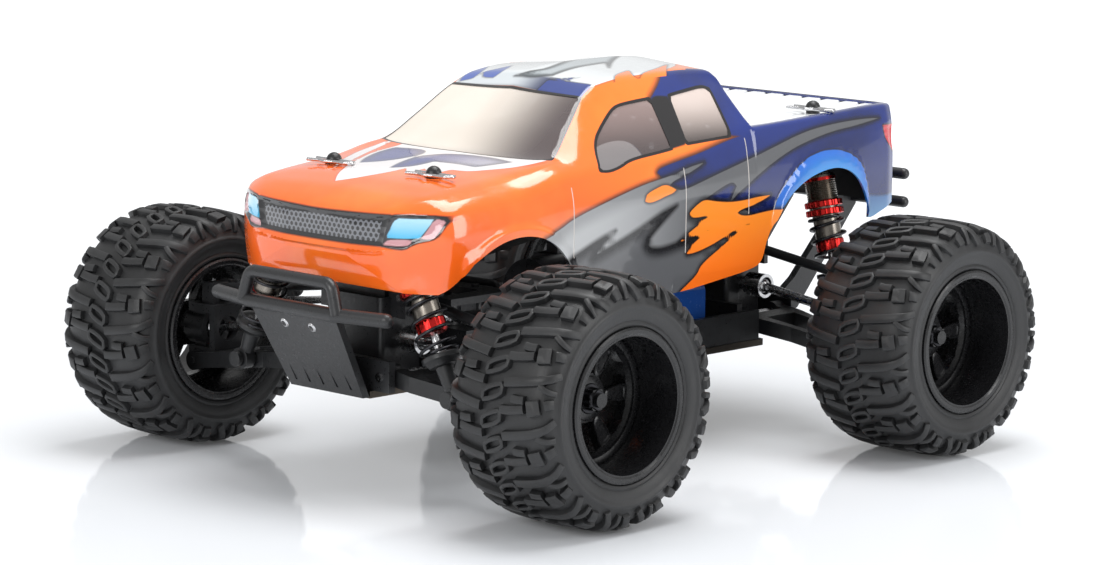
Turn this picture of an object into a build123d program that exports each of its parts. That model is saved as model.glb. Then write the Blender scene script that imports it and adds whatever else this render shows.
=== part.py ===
from build123d import *
import math
import os

# RC monster truck. Millimetres, +Z up, ground at z = 0. The front of the truck faces -Y and its
# left side faces +X. Everything is drawn with y = 0 midway between the axles, then moved by
# FRAME_SHIFT_Y so that the whole truck is centred on the origin.

# ---- driving dimensions ----
WHEELBASE = 180.0
TRACK = 202.5
TYRE_RADIUS = 43.2
TYRE_WIDTH = 46.0
RIM_RADIUS = 25.0
RIM_LIP_RADIUS = 26.1
BARREL_R = 23.2
FRAME_SHIFT_Y = -10.0

AXLE_Y = WHEELBASE / 2
AXLE_Z = TYRE_RADIUS
WHEEL_X = TRACK / 2
WHEEL_IN_X = WHEEL_X - TYRE_WIDTH / 2
WHEEL_OUT_X = WHEEL_X + TYRE_WIDTH / 2

PLATE_BOTTOM = 33.5
PLATE_TOP = 36.0
PLATE_HALF_WIDTH = 40.0
PLATE_END_HALF_WIDTH = 18.4
PLATE_END_Y = 108.9

# Suspension: arm, link, driveshaft and tie rod share one inner-to-outer vector (SWING_X, SWING_Z),
# so the four links of a corner make exact parallelograms.
SWING_X = 65.0
SWING_Z = -9.0
ARM_IN = (21.0, 41.0)
LINK_IN = (18.0, 67.0)
DIFF_IN = (23.0, AXLE_Z - SWING_Z)
TIE_IN = (23.0, 59.75)
ARM_OUT = (ARM_IN[0] + SWING_X, ARM_IN[1] + SWING_Z)
LINK_OUT = (LINK_IN[0] + SWING_X, LINK_IN[1] + SWING_Z)
KING_X = DIFF_IN[0] + SWING_X
TIE_OUT_Z = TIE_IN[1] + SWING_Z
STEER_ARM = 14.0
TIE_Y = STEER_ARM - AXLE_Y

# Pins and running clearance, radial
HINGE_PIN_R = 1.5
LINK_PIN_R = 1.25
KINGPIN_R = 1.25
RUN = 0.05
AXLE_R = 2.5
SHAFT_R = 2.5

# Dampers, along their own axis from the upper eye (0) to the lower eye (DAMPER_LENGTH)
DAMPER_LENGTH = 58.0
DAMPER_Y = 13.0
DAMPER_TOP = {"f": (28.7, 89.7), "r": (38.3, 99.8)}
DAMPER_FOOT = {"f": (54.2, 37.6), "r": (52.2, 43.5)}
DAMPER_BODY_R = 6.0
COLLAR_R = 7.2
DAMPER_COLLARS = [(14.8, 17.2, COLLAR_R), (17.9, 20.3, COLLAR_R), (29.5, 34.5, 5.3)]
COLLAR_ROOM = 0.35
FRONT_DAMPER_SWING = 3.5
ROD_R = 1.5
TOWER_Y = (4.0, 6.5)
SPRING_R = 6.4
SPRING_WIRE_R = 0.6
SPRING_TOP = 21.0
SPRING_END = 41.4
SPRING_TURNS = 4
DAMPER_FOOT_BORE_R = 2.2

# Gearboxes
CASE_HALF_X = 14.0
CASE_HALF_Y = 10.0
CASE_TOP = 67.0
CASE_WALL = 2.0
DIFF_R = 9.3
LUG_X = 26.0

# Steering
BELL_X = 12.0
BELL_Y = -66.0
LINK_PLATE_Z = (63.2, 65.7)
BELL_Z = (54.2, 58.0, 61.5)
BALL_R = 2.0
SOCKET_R = 3.2

# Arms, forks and screws
DOGBONE_BALL_R = 3.3
ARM_HALF_Y = 13.2
FORK_HALF_Y = 7.2
FORK_OUT_Y = 10.2
SCREW_R = 1.5
SCREW_HEAD_R = 2.8
SCREW_HEAD_H = 1.4
PLATE_SCREWS = [(x, y) for x in (-12.0, 12.0) for y in (-105.6, -84.0, 84.0, 105.6)]
PLATE_SCREWS += [(x, y) for x in (-30.0, 30.0) for y in (-66.0, 60.0)]
CUP_R = 4.4

# Gear train
GEAR_MODULE = 0.6
SPUR_TEETH = 46
PINION_TEETH = 15
SHAFT_Z = DIFF_IN[1]
GEAR_DISTANCE = GEAR_MODULE * (SPUR_TEETH + PINION_TEETH) / 2
GEAR_Y = (52.0, 56.0)
MOTOR_R = 14.0
MOTOR_Y = (6.0, 48.0)

# Body posts: x, y, foot z, post radius head z
POSTS = {"front": (25.4, -85.6, 76.0, 109.4), "rear": (41.0, 97.0, 104.0, 120.2)}
POST_R = 2.6
POST_BALL_R = 2.8
CLIP_WIRE_R = 0.6
CLIP_HOLE_HEIGHT = 0.9

# Body shell: cross-sections from nose to tail. Each is y and eight points of the half-section,
# from the lower edge up the side, over the shoulder and roof rail, to the top centre.
SHELL_WALL = 1.0
SHELL_SECTIONS = [
    (-117.0, [(15, 84), (17, 88), (18, 92), (17, 95), (14, 96.5), (10, 97), (6, 97.2), (0, 97.5)]),
    (-114.5, [(31, 76.5), (33, 84), (34, 92), (33, 97.5), (29, 99.8),
              (24, 100.3), (14, 100.6), (0, 101)]),
    (-111.5, [(38, 72.8), (41, 82), (42, 93), (41, 99), (36, 101.8),
              (30, 102.5), (18, 103), (0, 103.4)]),
    (-107.5, [(45.5, 72.8), (47.5, 82), (48.5, 93.5), (47, 100.3), (40, 103.6),
              (32, 104.6), (20, 105.2), (0, 105.6)]),
    (-103.0, [(51.5, 73), (53, 82), (53, 94), (50.5, 101.5), (42, 105.3),
              (33, 105.9), (20, 106.6), (0, 107)]),
    (-96.0, [(53.5, 58), (54, 82), (54, 95), (51.5, 102.5), (42.5, 106.4),
             (33, 107.6), (20, 108.3), (0, 108.5)]),
    (-70.0, [(54.5, 58), (55, 82), (55, 97), (52, 105), (43, 109.4),
             (33, 110.3), (20, 110.9), (0, 111.3)]),
    (-48.0, [(54.5, 58), (55, 82), (55, 99), (52, 109.5), (45, 112.7),
             (41, 113), (39, 113.1), (0, 113.6)]),
    (-34.0, [(54.5, 58), (55, 82), (55, 100), (51.5, 110), (48, 113.4),
             (38.5, 121.6), (36.5, 122.8), (0, 124.6)]),
    (-20.0, [(54.5, 58), (55, 82), (55, 100), (51.5, 110.5), (48.5, 113.8),
             (34.5, 131), (32.5, 133.2), (0, 135.4)]),
    (-12.0, [(54.5, 58), (55, 82), (55, 100), (51.5, 110.8), (49, 114),
             (33.8, 134), (31, 136.8), (0, 139.6)]),
    (5.0, [(54.5, 58), (55, 82), (55, 100.5), (52, 111.4), (49.5, 115),
           (34, 135.5), (31, 138.6), (0, 141.4)]),
    (30.0, [(54.5, 58), (55, 82), (55, 101), (52.5, 112.4), (50, 117),
            (34.5, 135.5), (31.5, 138.8), (0, 141.6)]),
    (46.0, [(54.5, 58), (55, 82), (55, 101), (53, 112.8), (51, 118),
            (35, 134.5), (33, 138), (0, 140.6)]),
    (49.0, [(54.5, 58), (55, 82), (55, 101), (53, 113), (51.5, 118.2),
            (36.5, 133), (34.5, 135.8), (0, 138)]),
    (51.0, [(54.5, 58), (55, 82), (55, 101), (53.5, 113), (52, 118.3),
            (48.8, 118.5), (48.3, 117.9), (0, 117.9)]),
    (90.0, [(54.5, 60), (55, 84), (55, 102), (53.5, 114), (52, 119.8),
            (48.8, 120), (48.3, 119.4), (0, 119.4)]),
    (126.0, [(53, 62), (54, 86), (54, 103), (53, 115), (51.5, 121.2),
             (48.3, 121.4), (47.8, 120.8), (0, 120.8)]),
    (131.0, [(51.5, 62), (52.5, 86), (52.5, 103), (51.5, 115), (50, 121),
             (46.8, 121.2), (46.3, 121.2), (0, 121.2)]),
]
# Lower edge of the shell, seen from the side: (y, z) runs and the two wheel arches
FRONT_ARCH = [(-95, 82.8), (-84, 88.8), (-72, 90.8), (-60, 88.6), (-51, 82), (-46.7, 74)]
SILL = [(-46.7, 74), (-45.5, 63), (-42.5, 60.5), (10, 61.5), (30, 64), (50, 66.5), (54, 69.5), (55.5, 75)]
REAR_ARCH = [(55.5, 75), (60, 84), (66, 91.5), (75, 97), (86, 100), (96, 100.3), (104.5, 97), (110.5, 90),
             (114.5, 79)]
TAIL_EDGE = [(114.5, 79), (118, 79.5), (136, 85.5), (136, 40), (-106.5, 40), (-106.5, 72), (-95, 82.8)]

NODES = {}


# ---- helpers ----
def block(x0, x1, y0, y1, z0, z1):
    """A box between two corners."""
    centre = Pos((x0 + x1) / 2, (y0 + y1) / 2, (z0 + z1) / 2)
    return centre * Box(abs(x1 - x0), abs(y1 - y0), abs(z1 - z0))


def rod(start, end, radius):
    """A round bar from start to end."""
    start = Vector(*start)
    along = Vector(*end) - start
    place = Plane(origin=start, z_dir=along.normalized())
    return place * Cylinder(radius, along.length, align=(Align.CENTER, Align.CENTER, Align.MIN))


def x_rod(x0, x1, y, z, radius):
    return rod((x0, y, z), (x1, y, z), radius)


def y_rod(point, y0, y1, radius):
    return rod((point[0], y0, point[1]), (point[0], y1, point[1]), radius)


def z_rod(x, y, z0, z1, radius):
    return rod((x, y, z0), (x, y, z1), radius)


def prism_xz(points, y0, y1):
    """An outline in x and z, extruded from y0 to y1."""
    outline = Face(Wire.make_polygon([Vector(x, y0, z) for x, z in points], close=True))
    return extrude(outline, amount=y1 - y0, dir=(0, 1, 0))


def prism_xy(points, z0, z1):
    """An outline in x and y, extruded from z0 to z1."""
    outline = Face(Wire.make_polygon([Vector(x, y, z0) for x, y in points], close=True))
    return extrude(outline, amount=z1 - z0, dir=(0, 0, 1))


def prism_yz(points, x0, x1):
    """An outline in y and z, extruded from x0 to x1."""
    outline = Face(Wire.make_polygon([Vector(x0, y, z) for y, z in points], close=True))
    return extrude(outline, amount=x1 - x0, dir=(1, 0, 0))


def tube_path(points, bend, radius):
    """A round tube along straight runs joined by arcs of the bend radius."""
    path = FilletPolyline(*points, radius=bend)
    start = Plane(origin=path @ 0, z_dir=path % 0)
    return sweep(start * Circle(radius), path=path)


def both_sides(shape):
    """The shape and its mirror image on the other side of the truck, as separate solids."""
    return [shape, mirror(shape, about=Plane.YZ)]


def place(shape, side, end):
    """Move a corner piece, drawn at the left rear, to a corner. side is 1 left, -1 right; end is -1 front."""
    if side < 0:
        shape = mirror(shape, about=Plane.YZ)
    if end < 0:
        shape = mirror(shape, about=Plane.XZ)
    return Pos(0, end * AXLE_Y, 0) * shape


def node(name, *shapes):
    """Collect a node's solids, each a separate physical piece."""
    solids = []
    for shape in shapes:
        solids += shape.solids()
    NODES[name] = solids


# ---- chassis ----
def chassis_plate():
    side_y = 72.0
    taper_y = 76.0
    wide = PLATE_HALF_WIDTH
    narrow = PLATE_END_HALF_WIDTH
    right = [(narrow, -PLATE_END_Y), (narrow, -taper_y), (wide, -side_y), (wide, side_y), (narrow, taper_y),
             (narrow, PLATE_END_Y)]
    left = [(-x, y) for x, y in reversed(right)]
    plate = prism_xy(right + left, PLATE_BOTTOM, PLATE_TOP)
    for x, y in PLATE_SCREWS:
        plate -= z_rod(x, y, PLATE_BOTTOM, PLATE_TOP, SCREW_R)
        plate -= z_rod(x, y, PLATE_BOTTOM, PLATE_BOTTOM + SCREW_HEAD_H, SCREW_HEAD_R)
    return plate


def side_guard():
    """A low wall with a flange, along one edge of the plate."""
    wall = block(37.0, 39.6, -60.0, 70.0, PLATE_TOP, 47.0)
    ribs = [block(34.5, 37.0, y - 1.0, y + 1.0, PLATE_TOP, 44.0) for y in (-50, -20, 10, 40, 62)]
    for rib in ribs:
        wall += rib
    return wall


def gearbox_case(end):
    """Hollow case over the differential, with hinge-pin lugs at both ends and ears for the upper links."""
    case = block(-CASE_HALF_X, CASE_HALF_X, -CASE_HALF_Y, CASE_HALF_Y, PLATE_TOP, CASE_TOP)
    case = fillet(case.edges().filter_by(Axis.Z), 2.0)
    case -= block(-CASE_HALF_X + CASE_WALL, CASE_HALF_X - CASE_WALL, -CASE_HALF_Y + CASE_WALL,
                  CASE_HALF_Y - CASE_WALL, SHAFT_Z - DIFF_R - 0.5, SHAFT_Z + DIFF_R + 0.5)
    case -= x_rod(-LUG_X, LUG_X, 0, SHAFT_Z, SHAFT_R + RUN)
    case -= rod((0, -CASE_HALF_Y - 1, SHAFT_Z), (0, 0, SHAFT_Z), SHAFT_R + RUN)
    for y0, y1 in ((-17.0, -14.2), (14.2, 17.0)):
        lug = block(-LUG_X, LUG_X, y0, y1, PLATE_TOP, 47.0)
        wall_y = math.copysign(CASE_HALF_Y - 1, y0)
        bridge = block(-8, 8, min(y0, wall_y), max(y1, wall_y), PLATE_TOP, 46.0)
        case += lug + bridge
        for side in (1, -1):
            case -= y_rod((side * ARM_IN[0], ARM_IN[1]), y0 - 1, y1 + 1, HINGE_PIN_R)
    for side in (1, -1):
        for y0, y1 in ((-5.2, -3.2), (3.2, 5.2)):
            case += block(side * 13.0, side * 21.6, y0, y1, 60.0, 70.4)
            case -= y_rod((side * LINK_IN[0], LINK_IN[1]), y0, y1, LINK_PIN_R)
    return Pos(0, end * AXLE_Y, 0) * (case if end > 0 else mirror(case, about=Plane.XZ))


def shock_tower(end_key):
    """Upright plate on the gearbox, with a standoff for each damper and a bracket for each body post."""
    top_x, top_z = DAMPER_TOP[end_key]
    outline = [(12.5, CASE_TOP), (12.5, 76.0), (top_x - 7.5, top_z - 8.0), (top_x + 3.0, top_z - 3.5),
               (top_x + 3.5, top_z + 3.0), (top_x - 1.0, top_z + 4.2), (top_x - 9.0, top_z + 1.0), (8.0, 82.0)]
    mirrored = [(-x, z) for x, z in reversed(outline)]
    plate = prism_xz(outline + mirrored, TOWER_Y[0], TOWER_Y[1])
    plate -= block(-5, 5, 3, 8, 71.0, 78.0)
    for side in (1, -1):
        plate += y_rod((side * top_x, top_z), TOWER_Y[1] - 0.5, DAMPER_Y - 2.5, 3.0)
    key = "front" if end_key == "f" else "rear"
    post_x, post_y, foot_z, _ = POSTS[key]
    local_y = abs(post_y) - AXLE_Y
    for side in (1, -1):
        if key == "front":
            plate += block(side * (post_x - 3), side * (post_x + 3), local_y - 3.2, 5.0, 84.0, 90.0)
            plate -= z_rod(side * post_x, local_y, 80.0, 95.0, POST_R)
        else:
            plate += block(side * (post_x - 3), side * (post_x + 3), 4.5, 10.0, top_z + 2.0, foot_z)
    for side in (1, -1):
        plate -= y_rod((side * top_x, top_z), -5, 20, HINGE_PIN_R)
    end = -1 if end_key == "f" else 1
    return Pos(0, end * AXLE_Y, 0) * (plate if end > 0 else mirror(plate, about=Plane.XZ))


def body_post(x, y, foot, head):
    """Round post with a ball top and a cross hole for its clip."""
    hole_z = head + CLIP_HOLE_HEIGHT
    post = z_rod(x, y, foot, hole_z, POST_R)
    post += Pos(x, y, hole_z) * Sphere(POST_BALL_R)
    post -= x_rod(x - 6, x + 6, y, hole_z, CLIP_WIRE_R + RUN)
    return post


def body_clip(x, y, head):
    """Wire hairpin: a straight leg through the post and a bowed leg outside it."""
    z = head + CLIP_HOLE_HEIGHT
    leg_start = x - 9.0
    bow = [(x + 10.5, y + 0.0, z), (x + 11.3, y - 2.0, z), (x + 9.0, y - 3.6, z), (x + 3.5, y - 3.7, z),
           (x, y - 5.0, z), (x - 3.5, y - 3.7, z), (x - 8.5, y - 5.2, z)]
    points = [(leg_start, y, z)] + bow
    return tube_path(points, 0.9, CLIP_WIRE_R)


# ---- bumpers ----
def front_bumper():
    bar_r = 2.5
    loop_r = 2.2
    bar = rod((-22, -129.0, 65.4), (22, -129.0, 65.4), bar_r)
    for side in (1, -1):
        bar += rod((side * 22, -129.0, 65.4), (side * 43.0, -124.4, 65.4), bar_r)
        bar += Pos(side * 22, -129.0, 65.4) * Sphere(bar_r)
        bar += Pos(side * 43.0, -124.4, 65.4) * Sphere(bar_r)
    loop = tube_path([(24.2, -129.6, 65.5), (20.9, -129.1, 76.0), (-20.9, -129.1, 76.0), (-24.2, -129.6, 65.5)],
                     4.0, loop_r)
    bar += loop
    thickness = 3.0
    face = [(-129.6, 66.5), (-112.2, 34.0), (-112.2 + thickness, 34.0), (-129.6 + thickness, 66.5)]
    skid = prism_yz(face, -23, 23)
    taper = prism_xz([(-22.0, 66.6), (-18.4, 33.0), (18.4, 33.0), (22.0, 66.6)], -140, -100)
    skid = skid & taper
    for x in (-14, -7, 0, 7, 14):
        skid -= Pos(0, -0.6, 0) * prism_yz([(-129.0, 62.0), (-113.6, 36.5), (-112.5, 36.5), (-127.9, 62.0)],
                                         x - 0.5, x + 0.5)
    mount = prism_yz([(-124.0, 60.0), (-111.0, 36.2), (-107.1, 36.2), (-107.1, 46.5), (-117.0, 60.0)], -9, 9)
    return bar + skid + mount


def rear_bumper():
    bar_r = 2.2
    bar_y = 151.0
    upper = 91.6
    lower = 80.6
    strut_x = 16.0
    bumper = rod((-42, bar_y, upper), (42, bar_y, upper), bar_r)
    bumper += rod((-42, bar_y, lower), (42, bar_y, lower), bar_r)
    for side in (1, -1):
        for z in (upper, lower):
            bumper += Pos(side * 42, bar_y, z) * Sphere(bar_r)
        bumper += block(side * strut_x - 2.2, side * strut_x + 2.2, bar_y - 1.8, bar_y + 1.2, lower, upper)
        bumper += prism_yz([(bar_y + 1.0, lower + 2), (bar_y + 1.0, lower - 3), (118.0, 40.0), (107.1, 36.2),
                            (107.1, 46.0), (116.0, 52.0), (bar_y - 5.0, lower + 2)],
                           side * strut_x - 1.5, side * strut_x + 1.5)
    bumper += block(-strut_x, strut_x, 107.1, 110.0, 36.2, 46.0)
    return bumper


# ---- held inside ----
def battery():
    pack = block(8, 34, -36, 46, PLATE_TOP, 59)
    return fillet(pack.edges().filter_by(Axis.Y), 3.0)


def speed_controller():
    case = block(-34, -8, -42, -2, PLATE_TOP, 50)
    case = fillet(case.edges().filter_by(Axis.Z), 2.0)
    fins = [block(-33, -9, y - 0.8, y + 0.8, 50, 55) for y in range(-39, -4, 4)]
    for fin in fins:
        case += fin
    return case


def receiver():
    return fillet(block(-34, -18, -62, -49, PLATE_TOP, 48).edges().filter_by(Axis.Z), 1.5)


def servo():
    body = block(4, 28, -72, -60, PLATE_TOP, 54)
    body += block(0.5, 31.5, -72, -60, 47, 49.2)
    body += z_rod(BELL_X, BELL_Y, 54, 57.5, 2.5)
    return body


def motor_and_mount():
    x = -GEAR_DISTANCE
    can = y_rod((x, SHAFT_Z), MOTOR_Y[0], MOTOR_Y[1], MOTOR_R)
    can += y_rod((x, SHAFT_Z), MOTOR_Y[0] - 3, MOTOR_Y[0], MOTOR_R - 6)
    can -= y_rod((x, SHAFT_Z), MOTOR_Y[1] - 6, MOTOR_Y[1], 1.65)
    plate = block(x - 15, -3.5, MOTOR_Y[1], MOTOR_Y[1] + 2.5, PLATE_TOP, 67)
    plate -= y_rod((x, SHAFT_Z), MOTOR_Y[1], MOTOR_Y[1] + 2.5, 1.65)
    return can, plate


# ---- gears ----
def gear(teeth, y0, y1, x, z, turn):
    """Straight-toothed wheel about Y. turn is the angle of its first tooth, in degrees from +X."""
    pitch_r = GEAR_MODULE * teeth / 2
    root = pitch_r - 1.2 * GEAR_MODULE
    tip = pitch_r + 0.8 * GEAR_MODULE
    step = 360.0 / teeth
    shares = [(-0.30, root), (-0.12, tip), (0.12, tip), (0.30, root)]
    points = []
    for k in range(teeth):
        for share, radius in shares:
            angle = math.radians(turn + step * (k + share))
            points.append((x + radius * math.cos(angle), z + radius * math.sin(angle)))
    return prism_xz(points, y0, y1)


def centre_driveshaft():
    shaft = y_rod((0, SHAFT_Z), -AXLE_Y + CASE_HALF_Y - CASE_WALL, AXLE_Y - CASE_HALF_Y + CASE_WALL, SHAFT_R)
    shaft += gear(SPUR_TEETH, GEAR_Y[0], GEAR_Y[1], 0, SHAFT_Z, 180.0)
    shaft += y_rod((0, SHAFT_Z), GEAR_Y[1], GEAR_Y[1] + 5, 6.0)
    return shaft


def motor_pinion():
    half_step = 180.0 / PINION_TEETH
    pinion = gear(PINION_TEETH, GEAR_Y[0], GEAR_Y[1], -GEAR_DISTANCE, SHAFT_Z, half_step)
    pinion += y_rod((-GEAR_DISTANCE, SHAFT_Z), MOTOR_Y[1] - 5.5, GEAR_Y[1] + 2, 1.6)
    return pinion


def differential(end):
    """Differential with its two outdrive cups."""
    diff = x_rod(-CASE_HALF_X + CASE_WALL + 0.1, CASE_HALF_X - CASE_WALL - 0.1, 0, SHAFT_Z, 7.6)
    diff -= rod((0, -9, SHAFT_Z), (0, -6.5, SHAFT_Z), 4)
    for side in (1, -1):
        diff += x_rod(side * 11, side * 19, 0, SHAFT_Z, SHAFT_R)
        diff += x_rod(side * 17.5, side * 25.4, 0, SHAFT_Z, 4.6)
        diff -= x_rod(side * 19.3, side * 26, 0, SHAFT_Z, DOGBONE_BALL_R + 0.1)
    return Pos(0, end * AXLE_Y, 0) * (diff if end > 0 else mirror(diff, about=Plane.XZ))


# ---- corner pieces, drawn at the left rear corner with y measured from the axle ----


def lower_arm(key):
    """A-shaped arm: two inner barrels on the hinge pin, two outer ears on the carrier's pin."""
    half_thickness = 2.8
    length = math.hypot(SWING_X, SWING_Z)
    nx = -SWING_Z / length * half_thickness
    nz = SWING_X / length * half_thickness
    side_view = [(ARM_IN[0] + nx, ARM_IN[1] + nz), (ARM_IN[0] - nx, ARM_IN[1] - nz),
                 (ARM_OUT[0] - nx, ARM_OUT[1] - nz), (ARM_OUT[0] + nx, ARM_OUT[1] + nz)]
    arm = prism_xz(side_view, -ARM_HALF_Y, ARM_HALF_Y)
    plan = [(10, -ARM_HALF_Y), (32, -ARM_HALF_Y), (47, -FORK_OUT_Y), (95, -FORK_OUT_Y), (95, FORK_OUT_Y),
            (47, FORK_OUT_Y), (32, ARM_HALF_Y), (10, ARM_HALF_Y)]
    arm = arm & prism_xy(plan, 20, 60)
    for y0, y1 in ((-ARM_HALF_Y, -8.0), (8.0, ARM_HALF_Y)):
        arm += y_rod(ARM_IN, y0, y1, 3.8)
    for y0, y1 in ((-FORK_OUT_Y, -FORK_HALF_Y), (FORK_HALF_Y, FORK_OUT_Y)):
        arm += y_rod(ARM_OUT, y0, y1, 3.6)
    arm -= block(10, 27, -8.0, 8.0, 20, 60)
    arm -= block(76.5, 95, -FORK_HALF_Y, FORK_HALF_Y, 20, 60)
    arm -= prism_xy([(33, -8), (52, -6.5), (52, 6.5), (33, 8)], 20, 60)
    arm -= prism_xy([(57, -6.2), (71, -4.5), (71, 4.5), (57, 6.2)], 20, 60)
    foot = DAMPER_FOOT[key]
    if key == "f":
        arm += y_rod(foot, 7.0, DAMPER_Y - 2.7, 3.4)
    else:
        arm += block(foot[0] - 3.4, foot[0] + 3.4, 7.0, DAMPER_Y - 2.7, 36.5, foot[1])
        arm += y_rod(foot, 7.0, DAMPER_Y - 2.7, 3.4)
    arm -= y_rod(ARM_IN, -20, 20, HINGE_PIN_R + RUN)
    arm -= y_rod(ARM_OUT, -20, 20, HINGE_PIN_R)
    arm -= y_rod(foot, 7.6, 20, SCREW_R)
    outer_pin = y_rod(ARM_OUT, -FORK_OUT_Y - 0.8, FORK_OUT_Y + 0.8, HINGE_PIN_R)
    screw = y_rod(foot, 7.6, DAMPER_Y + 2.9, SCREW_R)
    screw += y_rod(foot, DAMPER_Y + 2.9, DAMPER_Y + 4.6, SCREW_HEAD_R)
    return arm, outer_pin, screw


def carrier_lug():
    """Lower lug on the arm's outer pin and upper ears for the link, shared by all four hub carriers."""
    lug = y_rod(ARM_OUT, -6.8, 6.8, 3.4)
    lug += block(78.0, 92.0, -6.8, 6.8, 33.2, 36.8)
    lug += block(77.6, 80.4, -6.8, 6.8, 33.2, 52.8)
    lug += block(77.6, 92.0, -6.8, 6.8, 49.6, 52.8)
    lug -= y_rod(ARM_OUT, -8, 8, HINGE_PIN_R + RUN)
    lug -= x_rod(76, 82, 0, AXLE_Z + 0.6, 4.6)
    for y0, y1 in ((-5.2, -3.2), (3.2, 5.2)):
        lug += block(80.0, 86.2, y0, y1, 52.0, 61.0)
    lug += y_rod(LINK_OUT, -5.2, 5.2, LINK_PIN_R)
    return lug


def front_carrier():
    """C-shaped carrier that holds the steering knuckle on two kingpins."""
    carrier = carrier_lug()
    carrier += z_rod(KING_X, 0, 33.6, 38.4, KINGPIN_R)
    carrier += z_rod(KING_X, 0, 48.0, 52.6, KINGPIN_R)
    return carrier


def bearing(x0, x1):
    return x_rod(x0, x1, 0, AXLE_Z, 5.0) - x_rod(x0, x1, 0, AXLE_Z, AXLE_R + RUN)


def knuckle():
    """Steering knuckle with its bearings and, towards the truck's middle, the steering arm and ball."""
    body = x_rod(85.0, 95.0, 0, AXLE_Z, 6.8)
    body += block(85.0, 91.0, -4.5, 4.5, 37.0, 49.4)
    body = body & block(80, 100, -10, 10, 37.0, 49.4)
    body += block(85.5, 90.5, -STEER_ARM - 2.6, -4.0, 43.8, 46.6)
    body += z_rod(KING_X, -STEER_ARM, 45.0, TIE_OUT_Z, 1.0)
    body += Pos(KING_X, -STEER_ARM, TIE_OUT_Z) * Sphere(BALL_R)
    for z0, z1 in ((36.0, 39.8), (46.6, 50.0)):
        body -= z_rod(KING_X, 0, z0, z1, KINGPIN_R + RUN)
    body -= x_rod(84, 96, 0, AXLE_Z, CUP_R + 0.15)
    body -= x_rod(92.6, 96, 0, AXLE_Z, 5.0)
    return body, bearing(92.6, 95.0)


def rear_carrier():
    """Hub carrier with the bearing housing built in."""
    body = carrier_lug()
    body += x_rod(84.0, 95.0, 0, AXLE_Z, 6.8)
    body += block(86.0, 92.0, -6.0, 6.0, 36.0, 50.0)
    body -= x_rod(80.5, 96, 0, AXLE_Z, CUP_R + 0.15)
    body -= x_rod(92.6, 96, 0, AXLE_Z, 5.0)
    return body, bearing(92.6, 95.0)




def upper_link():
    start = (LINK_IN[0], 0, LINK_IN[1])
    end = (LINK_OUT[0], 0, LINK_OUT[1])
    link = rod(start, end, 1.8)
    for point in (LINK_IN, LINK_OUT):
        link += y_rod(point, -3.0, 3.0, 3.0)
    for point in (LINK_IN, LINK_OUT):
        link -= y_rod(point, -3.0, 3.0, LINK_PIN_R + RUN)
    return link


def dogbone():
    start = (DIFF_IN[0], 0, DIFF_IN[1])
    end = (KING_X, 0, AXLE_Z)
    shaft = rod(start, end, 1.75)
    for point in (start, end):
        shaft += Pos(*point) * Sphere(DOGBONE_BALL_R)
    return shaft


def tie_rod():
    """Rod between two ball sockets, drawn with y measured from its own line."""
    start = Vector(TIE_IN[0], 0, TIE_IN[1])
    end = Vector(KING_X, 0, TIE_OUT_Z)
    along = (end - start).normalized()
    tube = rod(start + along * 2.6, end - along * 2.6, 1.5)
    for point in (start, end):
        tube += Pos(point) * Sphere(SOCKET_R)
    for point in (start, end):
        tube -= Pos(point) * Sphere(BALL_R + RUN)
        tube -= z_rod(point.X, point.Y, point.Z - 5, point.Z + 5, 1.75)
    return tube


def axis_point(key, distance):
    """Point on a damper's axis, distance from its upper eye."""
    top = DAMPER_TOP[key]
    foot = DAMPER_FOOT[key]
    length = math.hypot(foot[0] - top[0], foot[1] - top[1])
    share = distance / length
    return (top[0] + (foot[0] - top[0]) * share, DAMPER_Y, top[1] + (foot[1] - top[1]) * share)


def damper_rod_between(key, s0, s1, radius):
    return rod(axis_point(key, s0), axis_point(key, s1), radius)


def shock_cylinder(key):
    top = DAMPER_TOP[key]
    body = damper_rod_between(key, 0, 6.0, 2.3)
    body += y_rod(top, DAMPER_Y - 2.4, DAMPER_Y + 2.4, 3.2)
    body += damper_rod_between(key, 4.6, 20.0, DAMPER_BODY_R)
    body += damper_rod_between(key, 20.0, 30.0, 5.0)
    for start, end, radius in DAMPER_COLLARS:
        body += damper_rod_between(key, start, end, radius)
    body -= y_rod(top, DAMPER_Y - 3, DAMPER_Y + 3, HINGE_PIN_R + RUN)
    body -= damper_rod_between(key, 10, 35, ROD_R + RUN)
    return body


def spring(key):
    height = SPRING_END - SPRING_TOP
    coil = Helix(pitch=height / SPRING_TURNS, height=height, radius=SPRING_R)
    wire = sweep(Plane(origin=coil @ 0, z_dir=coil % 0) * Circle(SPRING_WIRE_R), path=coil)
    start = Vector(*axis_point(key, SPRING_TOP))
    along = (Vector(*axis_point(key, SPRING_END)) - start).normalized()
    return Plane(origin=start, z_dir=along, x_dir=(0, 1, 0)) * wire


def shock_rod(key):
    foot = DAMPER_FOOT[key]
    shaft = damper_rod_between(key, 17.5, 46, ROD_R)
    shaft += damper_rod_between(key, 42.1, 44.0, 7.0)
    shaft += damper_rod_between(key, 44.0, 46.0, 5.2)
    shaft += damper_rod_between(key, 46.0, 56.0, 2.6)
    shaft += y_rod(foot, DAMPER_Y - 2.4, DAMPER_Y + 2.4, 4.0)
    shaft -= y_rod(foot, DAMPER_Y - 3, DAMPER_Y + 3, DAMPER_FOOT_BORE_R)
    return shaft


def revolve_x(points, y=0.0, z=AXLE_Z):
    """Turn an outline of (x, radius) points about the axle line."""
    outline = Face(Wire.make_polygon([Vector(x, 0, r) for x, r in points], close=True))
    return Pos(0, y, z) * revolve(outline, axis=Axis.X)


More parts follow.
